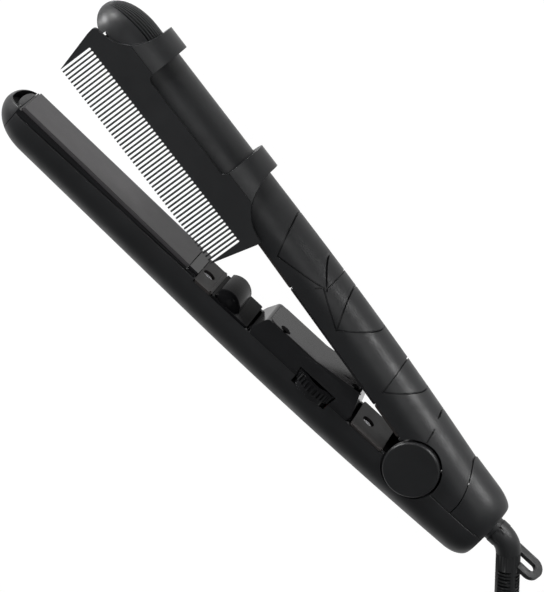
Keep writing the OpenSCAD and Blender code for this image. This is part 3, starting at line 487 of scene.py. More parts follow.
def comb_plastic():
    return surface("moulded_comb", colours().body, 0.40, grain=(0.3, 3000.0),
                   specular=0.45, tint=0.15, smear=0.06)


def gloss_plastic():
    return surface("polished_black", colours().gloss, 0.09, grain=(0.04, 260.0),
                   specular=0.34, tint=0.2, smear=0.03, scratches=0.08)


def guide_plastic():
    return surface("smooth_guide", colours().gloss, 0.2, grain=(0.04, 260.0),
                   specular=0.02, tint=0.2, smear=0.04)


def panel_plastic():
    return surface("satin_panel", colours().panel, 0.36, grain=(0.2, 3400.0),
                   specular=0.12, tint=0.12, smear=0.05)


def lid_plastic():
    return surface("smooth_lid", (0.042, 0.040, 0.041), 0.22, grain=(0.06, 900.0),
                   specular=0.4, tint=0.08, smear=0.03, scratches=0.08)


def plate_coat():
    return surface("ceramic_coat", colours().plate, 0.36, grain=(0.12, 2400.0),
                   specular=0.27, tint=0.05, smear=0.03, speck=0.04)


def boot_rubber():
    return surface("boot_rubber", (0.0125, 0.0128, 0.0132), 0.46, grain=(0.3, 3800.0),
                   specular=0.4, tint=0.15, smear=0.08)


def lead_sheath():
    return surface("lead_sheath", colours().lead, 0.44, grain=(0.25, 2400.0),
                   specular=0.42, tint=0.2, smear=0.08)


def bright_steel():
    return surface("bright_steel", (0.62, 0.62, 0.64), 0.28, grain=(0.2, 2200.0),
                   metallic=1.0, tint=0.06, smear=0.08, stretch=(0.12, 1, 1))


def spring_steel():
    return surface("drawn_wire", (0.36, 0.36, 0.38), 0.34, grain=(0.3, 1800.0),
                   metallic=1.0, tint=0.12, smear=0.08)


def brass_metal():
    return surface("bright_brass", (0.78, 0.57, 0.24), 0.25, grain=(0.15, 2000.0),
                   metallic=1.0, tint=0.08, smear=0.08)


def extruded_aluminium():
    return surface("extruded_aluminium", (0.70, 0.71, 0.73), 0.36, grain=(0.35, 1500.0),
                   metallic=1.0, tint=0.06, smear=0.1, stretch=(0.04, 1, 1))


def silicone():
    return surface("silicone_pad", (0.36, 0.045, 0.025), 0.6, grain=(0.2, 1500.0),
                   tint=0.1)


def bare_ceramic():
    return surface("bare_ceramic", (0.82, 0.78, 0.70), 0.62, grain=(0.4, 2600.0),
                   tint=0.05, speck=0.1)


def glazed_ceramic():
    return surface("glazed_sleeve", (0.78, 0.78, 0.74), 0.2, grain=(0.1, 900.0),
                   tint=0.05)


def board_laminate():
    return surface("board_laminate", (0.012, 0.075, 0.03), 0.35, grain=(0.3, 2600.0),
                   tint=0.3, speck=0.08)


def trimmer_plastic():
    return surface("trimmer_plastic", (0.01, 0.02, 0.085), 0.38, grain=(0.2, 2600.0))


def light_plastic():
    return surface("light_plastic", (0.42, 0.02, 0.012), 0.14, grain=(0.05, 500.0),
                   coat=0.3, tint=0.1)


def lead_insulation():
    return surface("lead_insulation", (0.34, 0.03, 0.02), 0.5, grain=(0.2, 2000.0))


def sealed_bead():
    return surface("sealed_bead", (0.012, 0.012, 0.012), 0.15, grain=(0.1, 1500.0))


def tie_plastic():
    return surface("tie_strap", (0.035, 0.035, 0.038), 0.45, grain=(0.5, 1600.0),
                   stretch=(1, 1, 3))


def plug_plastic():
    return surface("plug_body", (0.011, 0.011, 0.012), 0.38, grain=(0.35, 3000.0),
                   specular=0.45)


# Arms


def steps_between(start, end, step):
    """Even stations from start to end, about a step apart."""
    n = max(1, round((end - start) / step))
    return [start + (end - start) * i / n for i in range(n + 1)]


def tail_stations(start):
    """Stations that lie closer towards the tail's end."""
    return [start + TAIL_CLOSE * (i / TAIL_STATIONS) ** 2 for i in range(TAIL_STATIONS)]


def lower_rows(t, top, end, rim):
    """Sections of the lower arm, drawn in by t, from its tail to end."""
    rows = []
    start = -TAIL_LEN + t
    stations = tail_stations(start) + steps_between(start + TAIL_CLOSE, NOSE_START, 3.0)
    stations += steps_between(NOSE_START, end, 1.2)[1:]
    for x in stations:
        full = tail_full(x)
        depth = nose_depth(x, lower_back(x), LOWER_REACH) * at_least(0.25, full)
        round_h = min(BACK_H * at_least(0.3, full) * nose_full(x, LOWER_REACH), depth - 0.2)
        rows.append(arm_section(x, top, depth, half_at(x, LOWER_REACH), round_h, t, rim))
    if t == 0:
        rows[0:1] = end_rounding(rows[0], END_ROUND)
    return rows


def end_rounding(row, radius):
    """Rounds the edge of a flat end: the end's section, drawn in, then full a radius further on."""
    mid_y = sum(p[1] for p in row) / len(row)
    rows = []
    for b in (0, pi / 8, pi / 4, 3 * pi / 8):
        inset = radius * (1 - sin(b))
        ring = []
        for x, y, z in row:
            out = Vector((y - mid_y, z))
            out *= max(0.0, 1 - inset / max(out.length, 1e-6))
            ring.append((x + radius * (1 - cos(b)), mid_y + out.x, out.y))
        rows.append(ring)
    return rows


def neck_hole():
    return rod(NECK_HOLE_R, -TAIL_LEN - 1, -TAIL_LEN + WALL + 1, ON_HINGE, "X")


def make_lower_shell():
    hollow = loft(lower_rows(WALL, -1, LOWER_TIP + 1, 0), IN_LOWER)
    ears = []
    for z in (EAR_IN, -EAR_OUT):
        top = z + EAR_OUT - EAR_IN
        ears += [block((-EAR_R + 1, -RIM_LOWER, z), (EAR_R - 1, EAR_WEB, top), IN_LOWER),
                 rod(EAR_R, z, top, ON_HINGE)]
    at_wheel = Matrix.Translation((WHEEL_X, 0, MID_Z + WHEEL_Z))
    shell = carved(loft(lower_rows(0, 0, LOWER_TIP, sizes().edge / MM), IN_LOWER), [
        *cut(hollow), *add(*ears), *cut(
            rod(CAP_HOLE_R, EAR_OUT + APART, WIDE, ON_HINGE),
            rod(FAR_HOLE_R, -WIDE, -EAR_OUT - APART, ON_HINGE),
            block((COVER_FROM, -1, -WIDE), (COVER_TO, COVER_DEPTH, WIDE), IN_LOWER),
            block((NOSE_START - 2, -1, -HOLDER_HALF), (LOWER_TIP + 1, 1, HOLDER_HALF), IN_LOWER),
            rod(WHEEL_HOLE_R, WHEEL_LOW, WHEEL_HIGH + RIM_LOWER, at_wheel, "Y"),
            neck_hole())])
    finish_piece("lower_shell_skin", shell, body_plastic(), "lower_arm", ["lower_shell"])


def tail_rows(t, low):
    """Sections of the tail's upper half, drawn in by t, from its end to behind the seam."""
    rows = []
    start = -TAIL_LEN + t
    edge = 0 if t else sizes().edge / MM
    for x in tail_stations(start) + steps_between(start + TAIL_CLOSE, -8, 2.0):
        full = tail_full(x)
        depth = (REAR_DEPTH + (x - REAR_DEPTH_AT) * REAR_SLOPE) * at_least(0.45, full)
        round_h = BACK_H * at_least(0.5, full)
        rows.append(arm_section(x, -low, depth, half_at(x, LOWER_REACH), round_h, t, edge))
    if t == 0:
        rows[0:1] = end_rounding(rows[0], END_ROUND)
    return rows


def make_rear_cap():
    cap = carved(loft(tail_rows(0, RIM_LOWER - 0.2), IN_TAIL), cut(
        loft(tail_rows(WALL, RIM_LOWER + 1), IN_TAIL),
        rod(SEAM_R, -WIDE, WIDE, ON_HINGE, segments=192),
        neck_hole()))
    finish_piece("rear_cap_skin", cap, body_plastic(), "lower_arm", ["rear_cap"])


# Grooves of the grip, seen from the side: along the arm, and out from the hinge axis
GRIP_TURN = -9.2
GRIP_LINES = [
    ((117.5, -26.5), (110.5, -14)), ((110.5, -14), (87, -20.5)), ((87, -20.5), (69, -13.5)),
    ((102, -31.5), (85, -20.7)), ((86.5, -31.5), (86, -21.5)), ((85.85, -21.9), (89.2, -18.1)),
    ((81, -31.5), (69, -14)), ((50, -31.5), (69, -14)), ((38.5, -25), (35, -12.5)),
    ((15, -31.5), (35, -12.5)), ((13.5, -25.5), (10, -22)), ((7.7, -18.5), (5.5, -13.5)),
    ((117.5, -26.5), (121, -31.5)), ((38.5, -25), (41, -31.5)),
]


def upper_solid(t, top, end=UPPER_TIP, start=-TAIL_LEN):
    """The upper arm's outline as a solid, drawn in by t."""
    return loft([arm_section(x, top, upper_back(x), HALF_W, BACK_H, t)
                 for x in steps_between(start, end, 3.0)], IN_UPPER)


def grip_cutters():
    """Thin strips through the grip, kept only outside a core a groove's depth under the surface."""
    half = sizes().groove_width / MM / 2
    core = upper_solid(sizes().groove_depth / MM, -20)
    turn = Matrix.Rotation(radians(GRIP_TURN), 4, "Z") @ ON_HINGE
    strips = []
    for (x0, y0), (x1, y1) in GRIP_LINES:
        along = Vector((x1 - x0, y1 - y0, 0))
        heading = Matrix.Rotation(atan2(along.y, along.x), 4, "Z")
        at = turn @ Matrix.Translation((x0, y0, 0)) @ heading
        strip = block((-half, -half, -20), (along.length + half, half, 20), at)
        strips.append(carved(strip, cut(core.copy())))
    core.free()
    return strips


def outside_seam():
    """All that lies outside the round seam, apart from the grip in front of it."""
    grip = block((-SEAM_R * 0.35, -60, -20), (300, 60, 20), OPENED)
    return carved(rod(80, -WIDE, WIDE, ON_HINGE, segments=256), cut(
        rod(SEAM_R - SEAM_GAP, -HALF_W - 2, HALF_W + 2, ON_HINGE, segments=192), grip))


def over_rim():
    """All over the rim, apart from the skirt behind the hinge and the knuckle's room."""
    inside = HALF_W - WALL - 1
    return carved(block((0, -20, -WIDE), (UPPER_TIP + 2, 0, WIDE), IN_UPPER), cut(
        block((-1, -21, -inside), (SKIRT_TO, 1, inside), IN_UPPER)))


def make_upper_shell():
    """Each cut works on a finished solid, because one long row of them breaks at the grooves."""
    # Drawn in and a little shorter than the round part, so that no faces meet in one plane
    inset, short = 0.4, 0.03
    knuckle = carved(upper_solid(inset, 0), [("INTERSECT", block(
        (-KNUCKLE_HALF, -RIM_UPPER, KNUCKLE_LO + short),
        (KNUCKLE_HALF, 30, KNUCKLE_HI - short), IN_UPPER))])
    shell = carved(upper_solid(0, -9), [
        *cut(upper_solid(WALL, -10, UPPER_TIP + 1, -TAIL_LEN - 1)),
        *add(knuckle, rod(KNUCKLE_R, KNUCKLE_LO, KNUCKLE_HI, ON_HINGE))])
    for tool in [
        over_rim(),
        block((COVER_FROM, -1, -WIDE), (COVER_TO, COVER_DEPTH, WIDE), IN_UPPER),
        block((-60, RIM_LOWER - REST_GAP, -1), (0, 43, 2 * MID_Z + 2)),
        rod(PIN_R + PIN_FIT, -HALF_W, HALF_W, ON_HINGE),
        rod(CAP_HOLE_R, KNUCKLE_HI + APART, WIDE, ON_HINGE),
        rod(FAR_HOLE_R, -WIDE, KNUCKLE_LO - APART, ON_HINGE),
        outside_seam(),
        *grip_cutters(),
    ]:
        shell = carved(shell, cut(tool))
    finish_piece("upper_shell_skin", shell, body_plastic(), "upper_arm", ["upper_shell"])


def nose_rows(start, back, taper, reach, steps, around=BACK_STEPS, dent=None):
    """Sections of a nose, closer towards its end."""
    rows = []
    for i in range(steps + 1):
        x = start + (reach - 0.02 - start) * (1 - (1 - i / steps) ** 2)
        top = NOSE_LEVEL - (NOSE_LEVEL + NOSE_RISE) * sqrt(1 - nose_part(x, reach) ** 4)
        depth = nose_depth(x, back - tan(radians(taper)) * (x - start), reach)
        full = nose_full(x, reach)
        round_h = min(BACK_H * full, depth - top - 0.02)
        rows.append(arm_section(x, top, depth, half_at(x, reach), round_h, 0, 0.6 * full, around,
                                dent and (lambda a, x=x: dent(a, x))))
    return rows


# Lower nose's channel: depth under the rim, and outer and inner edge, round but drawn in along x
CHANNEL_DEPTH = 2.6
CHANNEL_OUT_R, CHANNEL_OUT_SHARE = 12.0, 0.55
CHANNEL_IN_R, CHANNEL_IN_SHARE = 10.2, 0.3


def make_lower_tip():
    """A dome whose flat face has a curved channel round a raised inner part."""
    start = LOWER_TIP + TIP_GAP
    at = IN_LOWER @ Matrix.Translation((start, 0, 0))
    outer, inner = (at @ Matrix.Diagonal((share, 1, 1, 1))
                    for share in (CHANNEL_OUT_SHARE, CHANNEL_IN_SHARE))
    channel = carved(rod(CHANNEL_OUT_R, -6, CHANNEL_DEPTH, outer, "Y"),
                     cut(rod(CHANNEL_IN_R, -7, 3, inner, "Y")))
    dome = nose_rows(start, lower_back(start), LOWER_TAPER, LOWER_END, 28)
    tip = round_edges(carved(loft(dome, IN_LOWER), cut(channel)), 0.25, angle=40)
    finish_piece("lower_tip_skin", tip, body_plastic(), "lower_arm", ["lower_tip_cap"])


# Grooves between the upper nose's ribs: pitch and half width in degrees round the nose, pitches to
# each side, depth, and where along x they fade in
RIB_PITCH, RIB_HALF, RIB_REACH = 6.3, 1.8, 6.5
RIB_DEPTH, RIB_FROM, RIB_FADE = 0.85, 217.5, 1.5


def nose_dent(a, x):
    """Depth of the ribbed back's grooves at an angle round the nose."""
    turn = degrees(a) - 90
    off = (turn + RIB_PITCH / 2) % RIB_PITCH - RIB_PITCH / 2
    if abs(turn) > RIB_REACH * RIB_PITCH or abs(off) > RIB_HALF:
        return 0
    fade_in = min(max((x - RIB_FROM) / RIB_FADE, 0), 1)
    fade_out = min(nose_full(x, UPPER_END) / 0.5, 1) ** 2
    return RIB_DEPTH * fade_in * fade_out * cos(pi / 2 * off / RIB_HALF)


def make_upper_tip():
    rows = [arm_section(x, -NOSE_RISE, upper_back(x), HALF_W, BACK_H, 0, 0.35, 240,
                        lambda a, x=x: nose_dent(a, x))
            for x in steps_between(UPPER_TIP + TIP_GAP, NOSE_START, 0.6)]
    rows += nose_rows(NOSE_START, upper_back(NOSE_START), UPPER_TAPER, UPPER_END, 26, 240,
                      nose_dent)[1:]
    # What is cut out under the rim: up to which x, how deep and how wide to each side
    tip = carved(loft(rows, IN_UPPER), cut(*[
        block((UPPER_TIP - 4, -6, -half), (front, depth, half), IN_UPPER)
        for front, depth, half in [
            (NOSE_START, 0, WIDE), (LOWER_TIP + TIP_GAP, -0.01, WIDE),
            (NOSE_START - 0.8, 2.4, HALF_W - WALL), (LOWER_TIP + TIP_GAP, 3, HOLDER_HALF),
            (LOWER_TIP + TIP_GAP, 7.4, 11.2)]]))
    finish_piece("upper_tip_skin", tip, body_plastic(), "upper_arm", ["upper_tip_cap"])


# Pieces whose solid is right and only wants rounded edges: rounding, finish, slot, body, nodes
COVERS = [
    (0.35, gloss_plastic, "gloss", "lower_arm", ["control_housing"]),
    (0.2, lid_plastic, "lid", "lower_arm", ["control_cover"]),
    (0.2, panel_plastic, "panel", "lower_arm", ["front_panel", "rear_panel"]),
    (0.2, panel_plastic, "panel", "upper_arm", ["upper_front_panel", "upper_rear_panel"]),
    (0.2, gloss_plastic, "gloss", "upper_arm", ["upper_pocket"]),
]
PLATES = [
    (0.25, plate_coat, "plate", "lower_plate_body", ["lower_plate"]),
    (0.25, plate_coat, "plate", "upper_plate_body", ["upper_plate"]),
    (0.25, gloss_plastic, "gloss", "lower_arm", ["lower_plate_holder"]),
    (0.25, gloss_plastic, "gloss", "upper_arm", ["upper_plate_holder"]),
]
HINGE = [(0.2, body_plastic, "body", "lower_arm", ["near_hinge_cap", "far_hinge_cap"])]

# Front ridge of the control housing: its rounding's axis and radius, and where it meets the slope
RIDGE_X, RIDGE_Y, RIDGE_R, RIDGE_SLOPE_Y = 89.44, -6.3, 2.2, -7.16
RIDGED = ("control_housing", "control_cover")


def ridge_cutter():
    """Takes the corner off the housing's front ridge."""
    axis = IN_LOWER @ Matrix.Translation((RIDGE_X, RIDGE_Y, 0))
    return carved(block((RIDGE_X, -11, -20), (95, RIDGE_SLOPE_Y, 20), IN_LOWER),
                  cut(rod(RIDGE_R, -21, 21, axis)))


def make_rounded(rows):
    for width, material, slot, body, nodes in rows:
        for node in nodes:
            piece = cad_copy(node)
            if node in RIDGED:
                piece = carved(piece, cut(ridge_cutter()))
            piece = round_edges(piece, width)
            finish_piece(node + "_skin", piece, material(), body, [node], flats=True)


# Guide hump: its axis along the arm and under the rim, radius, where the round near end begins and
# how far that reaches, and its square front
HUMP_X, HUMP_Y, HUMP_R, HUMP_NEAR, HUMP_END, HUMP_FRONT = 109.4, 3.0, 7.8, 8.0, 5.4, 114.8


def make_guide():
    """The solid's sheet under a new arch across the arm, round at its near end, square in front."""
    at = IN_LOWER @ Matrix.Translation((HUMP_X, HUMP_Y, HUMP_NEAR))
    end = bmesh.new()
    bmesh.ops.create_uvsphere(end, u_segments=96, v_segments=48, radius=HUMP_R,
                              matrix=at @ Matrix.Diagonal((1, 1, HUMP_END / HUMP_R, 1)))
    old_hump = block((HUMP_X - 10, -8, -15), (HUMP_X + 12, -0.02, 15), IN_LOWER)
    under_sheet = block((HUMP_X - 10, 1.05, -13.6), (HUMP_X + 10, 20, 13.42), IN_LOWER)
    in_front = block((HUMP_FRONT, -10, -15), (HUMP_X + 12, 0, 15), IN_LOWER)
    guide = carved(cad_copy("guide_block"), [
        *cut(old_hump), *add(rod(HUMP_R, -21, 0, at), outward(end)), *cut(under_sheet, in_front)])
    finish_piece("guide_block_skin", round_edges(guide, 0.25, segments=3), guide_plastic(),
                 "lower_arm", ["guide_block"])


# Comb, in its own frame: the front guard's corner, and the room that the teeth take up
GUARD_CORNER = Vector((238.2, -9.9, 16.2))
TEETH_FROM, TEETH_TO, TEETH_ROOT, TEETH_LOW = 124.5, 233.5, -3.2, 14


def make_comb():
    comb = cad_copy("comb_attachment")
    inward = IN_COMB.inverted()

    def on_corner(p):
        return (inward @ p - GUARD_CORNER).length < 0.6

    def on_teeth(p):
        q = inward @ p
        return TEETH_FROM < q.x < TEETH_TO and q.y > TEETH_ROOT and q.z > TEETH_LOW

    round_edges(comb, 1.8, where=on_corner, segments=6)
    round_edges(comb, 0.45, where=lambda p: not on_teeth(p), segments=3)
    round_edges(comb, 0.12, where=on_teeth, segments=1)
    finish_piece("comb_skin", comb, comb_plastic(), "comb", ["comb_attachment"], flats=True)


def make_wheel():
    wheel = round_edges(cad_copy("temperature_wheel"), 0.15)
    finish_piece("wheel_skin", wheel, gloss_plastic(), "wheel", ["temperature_wheel"],
                 flats=True)


def make_boot():
    boot = round_edges(cad_copy("cord_boot"), 0.2)
    finish_piece("boot_skin", boot, boot_rubber(), "swivel", ["cord_boot"])
    neck = round_edges(cad_copy("swivel_neck"), 0.15)
    finish_piece("neck_skin", neck, body_plastic(), "swivel", ["swivel_neck"])


# Mains lead: the solids' route, kept within their box, then the way to the plug, and the coil
LEAD_POINTS_M = [
    (-0.0911, 0.045, 0.0053), (-0.096, 0.0484, 0.0045), (-0.1014, 0.0506, 0.0039),
    (-0.1071, 0.0512, 0.0035), (-0.113, 0.0511, 0.0033), (-0.1188, 0.05, 0.0033),
    (-0.1305, 0.0458, 0.0035), (-0.144, 0.0409, 0.0038),
]
PLUG_LEAD_POINTS_M = [
    (-0.181, 0.0269, 0.0103), (-0.189, 0.0218, 0.0095), (-0.197, 0.0148, 0.0085),
    (-0.2036, 0.0058, 0.0076),
]
PLUG_AT_M = Vector((-0.209, -0.005, 0.0068))
PLUG_DIR = Vector((-0.32, -0.95, 0)).normalized()
COIL_CENTRE_M = (-0.15, -0.011)
COIL_TURNS, COIL_STEPS, COIL_START = 8, 24, 110
COIL_OUTER_M, COIL_PITCH_M, COIL_LOW_M = 0.04675, 0.0065, 0.0042
# Short straight stretches at the lead's ends
STRAIGHT_M, PLUG_STRAIGHT_M = 0.002, 0.003

# Boot: where its elbow starts, the elbow's radius and bend, the relief's length and its turn
ELBOW_X, ELBOW_R, ELBOW_BEND = -50, 10, 52.7
RELIEF_LEN, BOOT_TURN = 44, -14


def relief_exit():
    """Where the lead leaves its strain relief, and its direction there."""
    bend, turn = radians(ELBOW_BEND), radians(BOOT_TURN)
    out = ELBOW_R * (1 - cos(bend)) + RELIEF_LEN * sin(bend)
    end = Vector((ELBOW_X - ELBOW_R * sin(bend) - RELIEF_LEN * cos(bend),
                  out * cos(turn), MID_Z + out * sin(turn)))
    return end * MM, Vector((-cos(bend), sin(bend) * cos(turn), sin(bend) * sin(turn)))


def coil_points():
    """In on the lower layer, up in half a turn, and out on the upper layer."""
    half = COIL_TURNS / 2
    points = []
    for i in range(COIL_TURNS * COIL_STEPS + 1):
        u = i / COIL_STEPS
        a = radians(COIL_START + 360 * u)
        r = COIL_OUTER_M - COIL_PITCH_M * (u if u <= half else COIL_TURNS - u)
        rise = min(max((u - half + 0.25) / 0.5, 0), 1)
        points.append(Vector((COIL_CENTRE_M[0] + r * cos(a), COIL_CENTRE_M[1] + r * sin(a),
                              COIL_LOW_M + COIL_PITCH_M * rise)))
    diameter = sizes().cord_diameter
    first = points[0] - (points[1] - points[0]).normalized() * diameter
    last = points[-1] + (points[-1] - points[-2]).normalized() * diameter
    return [first, *points, last]


def lead_path():
    exit_m, along = relief_exit()
    coil = coil_points()
    into = (coil[1] - coil[0]).normalized()
    away = (coil[-1] - coil[-2]).normalized()
    points = [exit_m, exit_m + along * STRAIGHT_M, *[Vector(p) for p in LEAD_POINTS_M],
              coil[0] - into * STRAIGHT_M, *coil, coil[-1] + away * STRAIGHT_M,
              *[Vector(p) for p in PLUG_LEAD_POINTS_M],
              PLUG_AT_M - PLUG_DIR * PLUG_STRAIGHT_M, PLUG_AT_M]
    return smooth_path([p / MM for p in points], 2.5)


def make_lead():
    path = lead_path()
    diameter = sizes().cord_diameter
    lead = finish_piece("mains_lead", tube(path, diameter / MM / 2, 14), lead_sheath(),
                        "swivel", ["mains_cord", "cord_coil", "plug_lead"])
    plug = finish_piece("plug_skin", round_edges(cad_copy("plug_body"), 1.1, segments=4),
                        plug_plastic(), "swivel", ["plug_body"])
    tie = finish_piece("tie_skin", round_edges(cad_copy("cord_tie"), 0.3), tie_plastic(),
                       "swivel", ["cord_tie"])


# Wires inside the arms, along the solids' routes
BOARD_Y = 7.4
SOCKET_X = -42.5
LEAD_R, MAINS_R, SPRING_R = 0.85, 1.05, 0.58
LOWER_LEADS_Z = (0, 2.2)
SPRING_TURNS, SPRING_PITCH, SPRING_LOW, SPRING_MEAN_R = 2.5, 1.62, 2.85, 5.6


def wire(name, paths, transform, radius, material, body):
    tubes = [tube(smooth_path([transform @ Vector(p) for p in path], 1.2), radius, 12)
             for path in paths]
    finish_piece(name + "_skin", joined(tubes), material, body, [name])


def along_back(height, back, stations):
    """Points at a height over the inside of an arm's back."""
    return [(x, back(x) - WALL - height, z) for x, z in stations]


def spring_points():
    """A leg, the turns, and the other leg."""
    mean = SPRING_MEAN_R
    points = [(mean + 0.2 * i, 4 * i, SPRING_LOW) for i in (4, 3, 2, 1)]
    for i in range(int(24 * SPRING_TURNS) + 1):
        a = radians(-15 * i)
        points.append((mean * cos(a), mean * sin(a), SPRING_LOW + SPRING_PITCH * i / 24))
    top = SPRING_LOW + SPRING_PITCH * SPRING_TURNS
    return points + [(-mean - 0.2 * i, -0.72 * i, top) for i in (1, 2, 3, 4)]


def make_wires():
    lower = [
        [(53, BOARD_Y + 2.5, z + 1), (56, BOARD_Y + 3, z + 1),
         *along_back(1.5, lower_back, [(x, z + 1) for x in (64, 84, 104)]),
         *along_back(2.9, lower_back, [(x, z + 4.4) for x in (116, 129)])]
        for z in LOWER_LEADS_Z]
    mains = [
        [(SOCKET_X + 10.6, 2, 3 * s), (-27, 8, 4 * s),
         *along_back(2.3, lower_back, [(x, 4.6 * s) for x in (-14, 8, 27)]),
         (38, 13, 4.4 * s), (43, BOARD_Y + 3.4, 4 * s), (45.7, BOARD_Y + 2.6, 4 * s)]
        for s in (-1, 1)]
    upper = [along_back(1.9, upper_back, [(x, 4.6 * s) for x in (12, 34, 56, 78, 100, 128)])
             for s in (-1, 1)]
    insulation = lead_insulation()
    wire("lower_leads", lower, IN_LOWER, LEAD_R, insulation, "lower_arm")
    wire("mains_leads", mains, IN_LOWER, MAINS_R, insulation, "lower_arm")
    wire("upper_leads", upper, IN_UPPER, LEAD_R, insulation, "upper_arm")
    wire("hinge_spring", [spring_points()], ON_HINGE, SPRING_R, spring_steel(),
         "lower_arm")


# CAD nodes that stay as they are and take a finish
PLAIN_NODES = {
    "lower_plate_pads": silicone, "upper_plate_pads": silicone, "cover_screws": bright_steel,
    "upper_screws": bright_steel, "potentiometer": trimmer_plastic, "control_board": board_laminate,
    "indicator_light": light_plastic, "hinge_pin": bright_steel, "hinge_washers": brass_metal,
    "swivel_socket": body_plastic, "swivel_contacts": brass_metal, "boot_contacts": brass_metal,
    "lower_heat_carrier": extruded_aluminium, "upper_heat_carrier": extruded_aluminium,
    "lower_heater": bare_ceramic, "upper_heater": bare_ceramic, "plate_sensor": sealed_bead,
    "thermal_fuse": glazed_ceramic, "plug_pins": brass_metal,
}


def finish_plain_nodes():
    for node, material in PLAIN_NODES.items():
        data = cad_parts[node].data
        data.materials.clear()
        data.materials.append(material())


# Stage: the camera's place and directions, solved from the photograph
CAMERA_AT_M = Vector((0.141758, -0.604539, 1.488841))
CAMERA_X = Vector((-0.73553, -0.63576, -0.23408))
CAMERA_UP = Vector((0.67688, -0.67502, -0.29356))
CAMERA_BACK = Vector((0.02863, -0.37437, 0.92684))
LENS, SENSOR = 238.235, 36.0

# Lights, in metres: name, point aimed at, where the light stands as the viewer sees it (right, up,
# back), distance, size, and spread in degrees
LIGHTS = [
    ("key", (-0.03, 0.0, 0.02), (0.7, 0.45, 0.55), 0.42, (0.14, 0.14), 36),
    ("fill", (0.01, -0.015, 0.015), (0.25, 0.05, 0.9), 0.9, (0.5, 0.5), 180),
    ("front", (0.22, -0.03, 0.015), (-0.72, 0.62, 0.3), 0.5, (0.2, 0.15), 60),
    ("nose", (0.222, -0.075, 0.017), (-0.2, 0.85, 0.35), 0.5, (0.1, 0.1), 11),
]
FLOOR_HALF_M, FLOOR_LOW_M = 4.0, -0.0001
# Floor: how much of it glows, how bright, and the part of that which polished pieces reflect
FLOOR_GLOW, FLOOR_BRIGHT, FLOOR_IN_GLOSS = 0.94, 1.05, 0.72


def make_camera():
    data = bpy.data.cameras.new("camera")
    data.lens = LENS
    data.sensor_fit = "HORIZONTAL"
    data.sensor_width = SENSOR
    data.clip_start = 0.05
    camera = bpy.data.objects.new("camera", data)
    turn = Matrix((CAMERA_X, CAMERA_UP, CAMERA_BACK)).transposed()
    camera.matrix_world = Matrix.Translation(CAMERA_AT_M) @ turn.to_4x4()
    bpy.context.scene.collection.objects.link(camera)
    bpy.context.scene.camera = camera


def from_camera(right, up, back):
    """A direction given as the photograph's viewer sees it."""
    return (CAMERA_X * right + CAMERA_UP * up + CAMERA_BACK * back).normalized()


def make_lights():
    for name, aim, stands, distance, size, spread in LIGHTS:
        data = bpy.data.lights.new(name + "_light", "AREA")
        data.shape = "RECTANGLE"
        data.size, data.size_y = size
        data.energy = getattr(bpy.context.scene.straightener_stage, name + "_power")
        data.spread = radians(spread)
        direction = from_camera(*stands)
        lamp = bpy.data.objects.new(name + "_light", data)
        lamp.location = Vector(aim) + direction * distance
        lamp.rotation_euler = direction.to_track_quat("Z", "Y").to_euler()
        bpy.context.scene.collection.objects.link(lamp)


def backdrop_share(tree):
    """1 for camera and transmission rays, less for glossy ones, 0 for the light on the object."""
    rays = add_node(tree, "LightPath", {}).outputs
    total = add_node(tree, "Math", {0: rays["Is Glossy Ray"], 1: FLOOR_IN_GLOSS},
                     operation="MULTIPLY").outputs["Value"]
    for ray in ("Is Camera Ray", "Is Transmission Ray"):
        total = add_node(tree, "Math", {0: total, 1: rays[ray]},
                         operation="MAXIMUM").outputs["Value"]
    return total


def make_floor():
    """Pale floor that keeps the shadow and shows white to the camera."""
    bm = bmesh.new()
    bmesh.ops.create_grid(bm, x_segments=1, y_segments=1, size=FLOOR_HALF_M)
    bmesh.ops.translate(bm, verts=bm.verts, vec=(0, 0, FLOOR_LOW_M))
    floor = as_object(bm, "floor")
    material = bpy.data.materials.new("pale_floor")
    material.use_nodes = True
    tree = material.node_tree
    tree.nodes.clear()
    lit = add_node(tree, "BsdfDiffuse", {"Color": (0.8, 0.8, 0.8, 1)}).outputs["BSDF"]
    glow = add_node(tree, "Emission", {"Strength": FLOOR_BRIGHT}).outputs["Emission"]
    share = add_node(tree, "Math", {0: backdrop_share(tree), 1: FLOOR_GLOW}, operation="MULTIPLY")
    mix = add_node(tree, "MixShader", {"Fac": share.outputs["Value"], 1: lit, 2: glow})
    add_node(tree, "OutputMaterial", {"Surface": mix.outputs["Shader"]})
    floor.data.materials.append(material)


def make_room():
    """Pale to the camera, and a dim even light to everything else."""
    world = bpy.data.worlds.new("room")
    bpy.context.scene.world = world
    world.use_nodes = True
    tree = world.node_tree
    tree.nodes.clear()
    dim = bpy.context.scene.straightener_stage.world_strength
    room = add_node(tree, "Background", {"Color": (0.95, 0.97, 1.0, 1), "Strength": dim})
    pale = add_node(tree, "Background", {"Strength": 1.0})
    rays = add_node(tree, "LightPath", {}).outputs
    mix = add_node(tree, "MixShader", {"Fac": rays["Is Camera Ray"], 1: room.outputs["Background"],
                                       2: pale.outputs["Background"]})
    add_node(tree, "OutputWorld", {"Surface": mix.outputs["Shader"]})


def make_stage():
    bpy.context.scene.view_settings.view_transform = "Standard"
    make_floor()
    make_room()
    make_lights()


# Operators


class BuildOperator:
    bl_options = {"REGISTER", "UNDO"}

    def execute(self, context):
        self.build()
        return {"FINISHED"}


class STRAIGHTENER_OT_camera(BuildOperator, Operator):
    """Place the camera at the photograph's angle"""
    bl_idname = "straightener.camera"
    bl_label = "Camera"
    build = staticmethod(make_camera)


class STRAIGHTENER_OT_lead(BuildOperator, Operator):
    """Lay the mains lead, its coil, tie and plug"""
    bl_idname = "straightener.lead"
    bl_label = "Mains Lead"
    build = staticmethod(make_lead)


class STRAIGHTENER_OT_lower_shell(BuildOperator, Operator):
    """Shape the lower shell"""
    bl_idname = "straightener.lower_shell"
    bl_label = "Lower Shell"
    build = staticmethod(make_lower_shell)


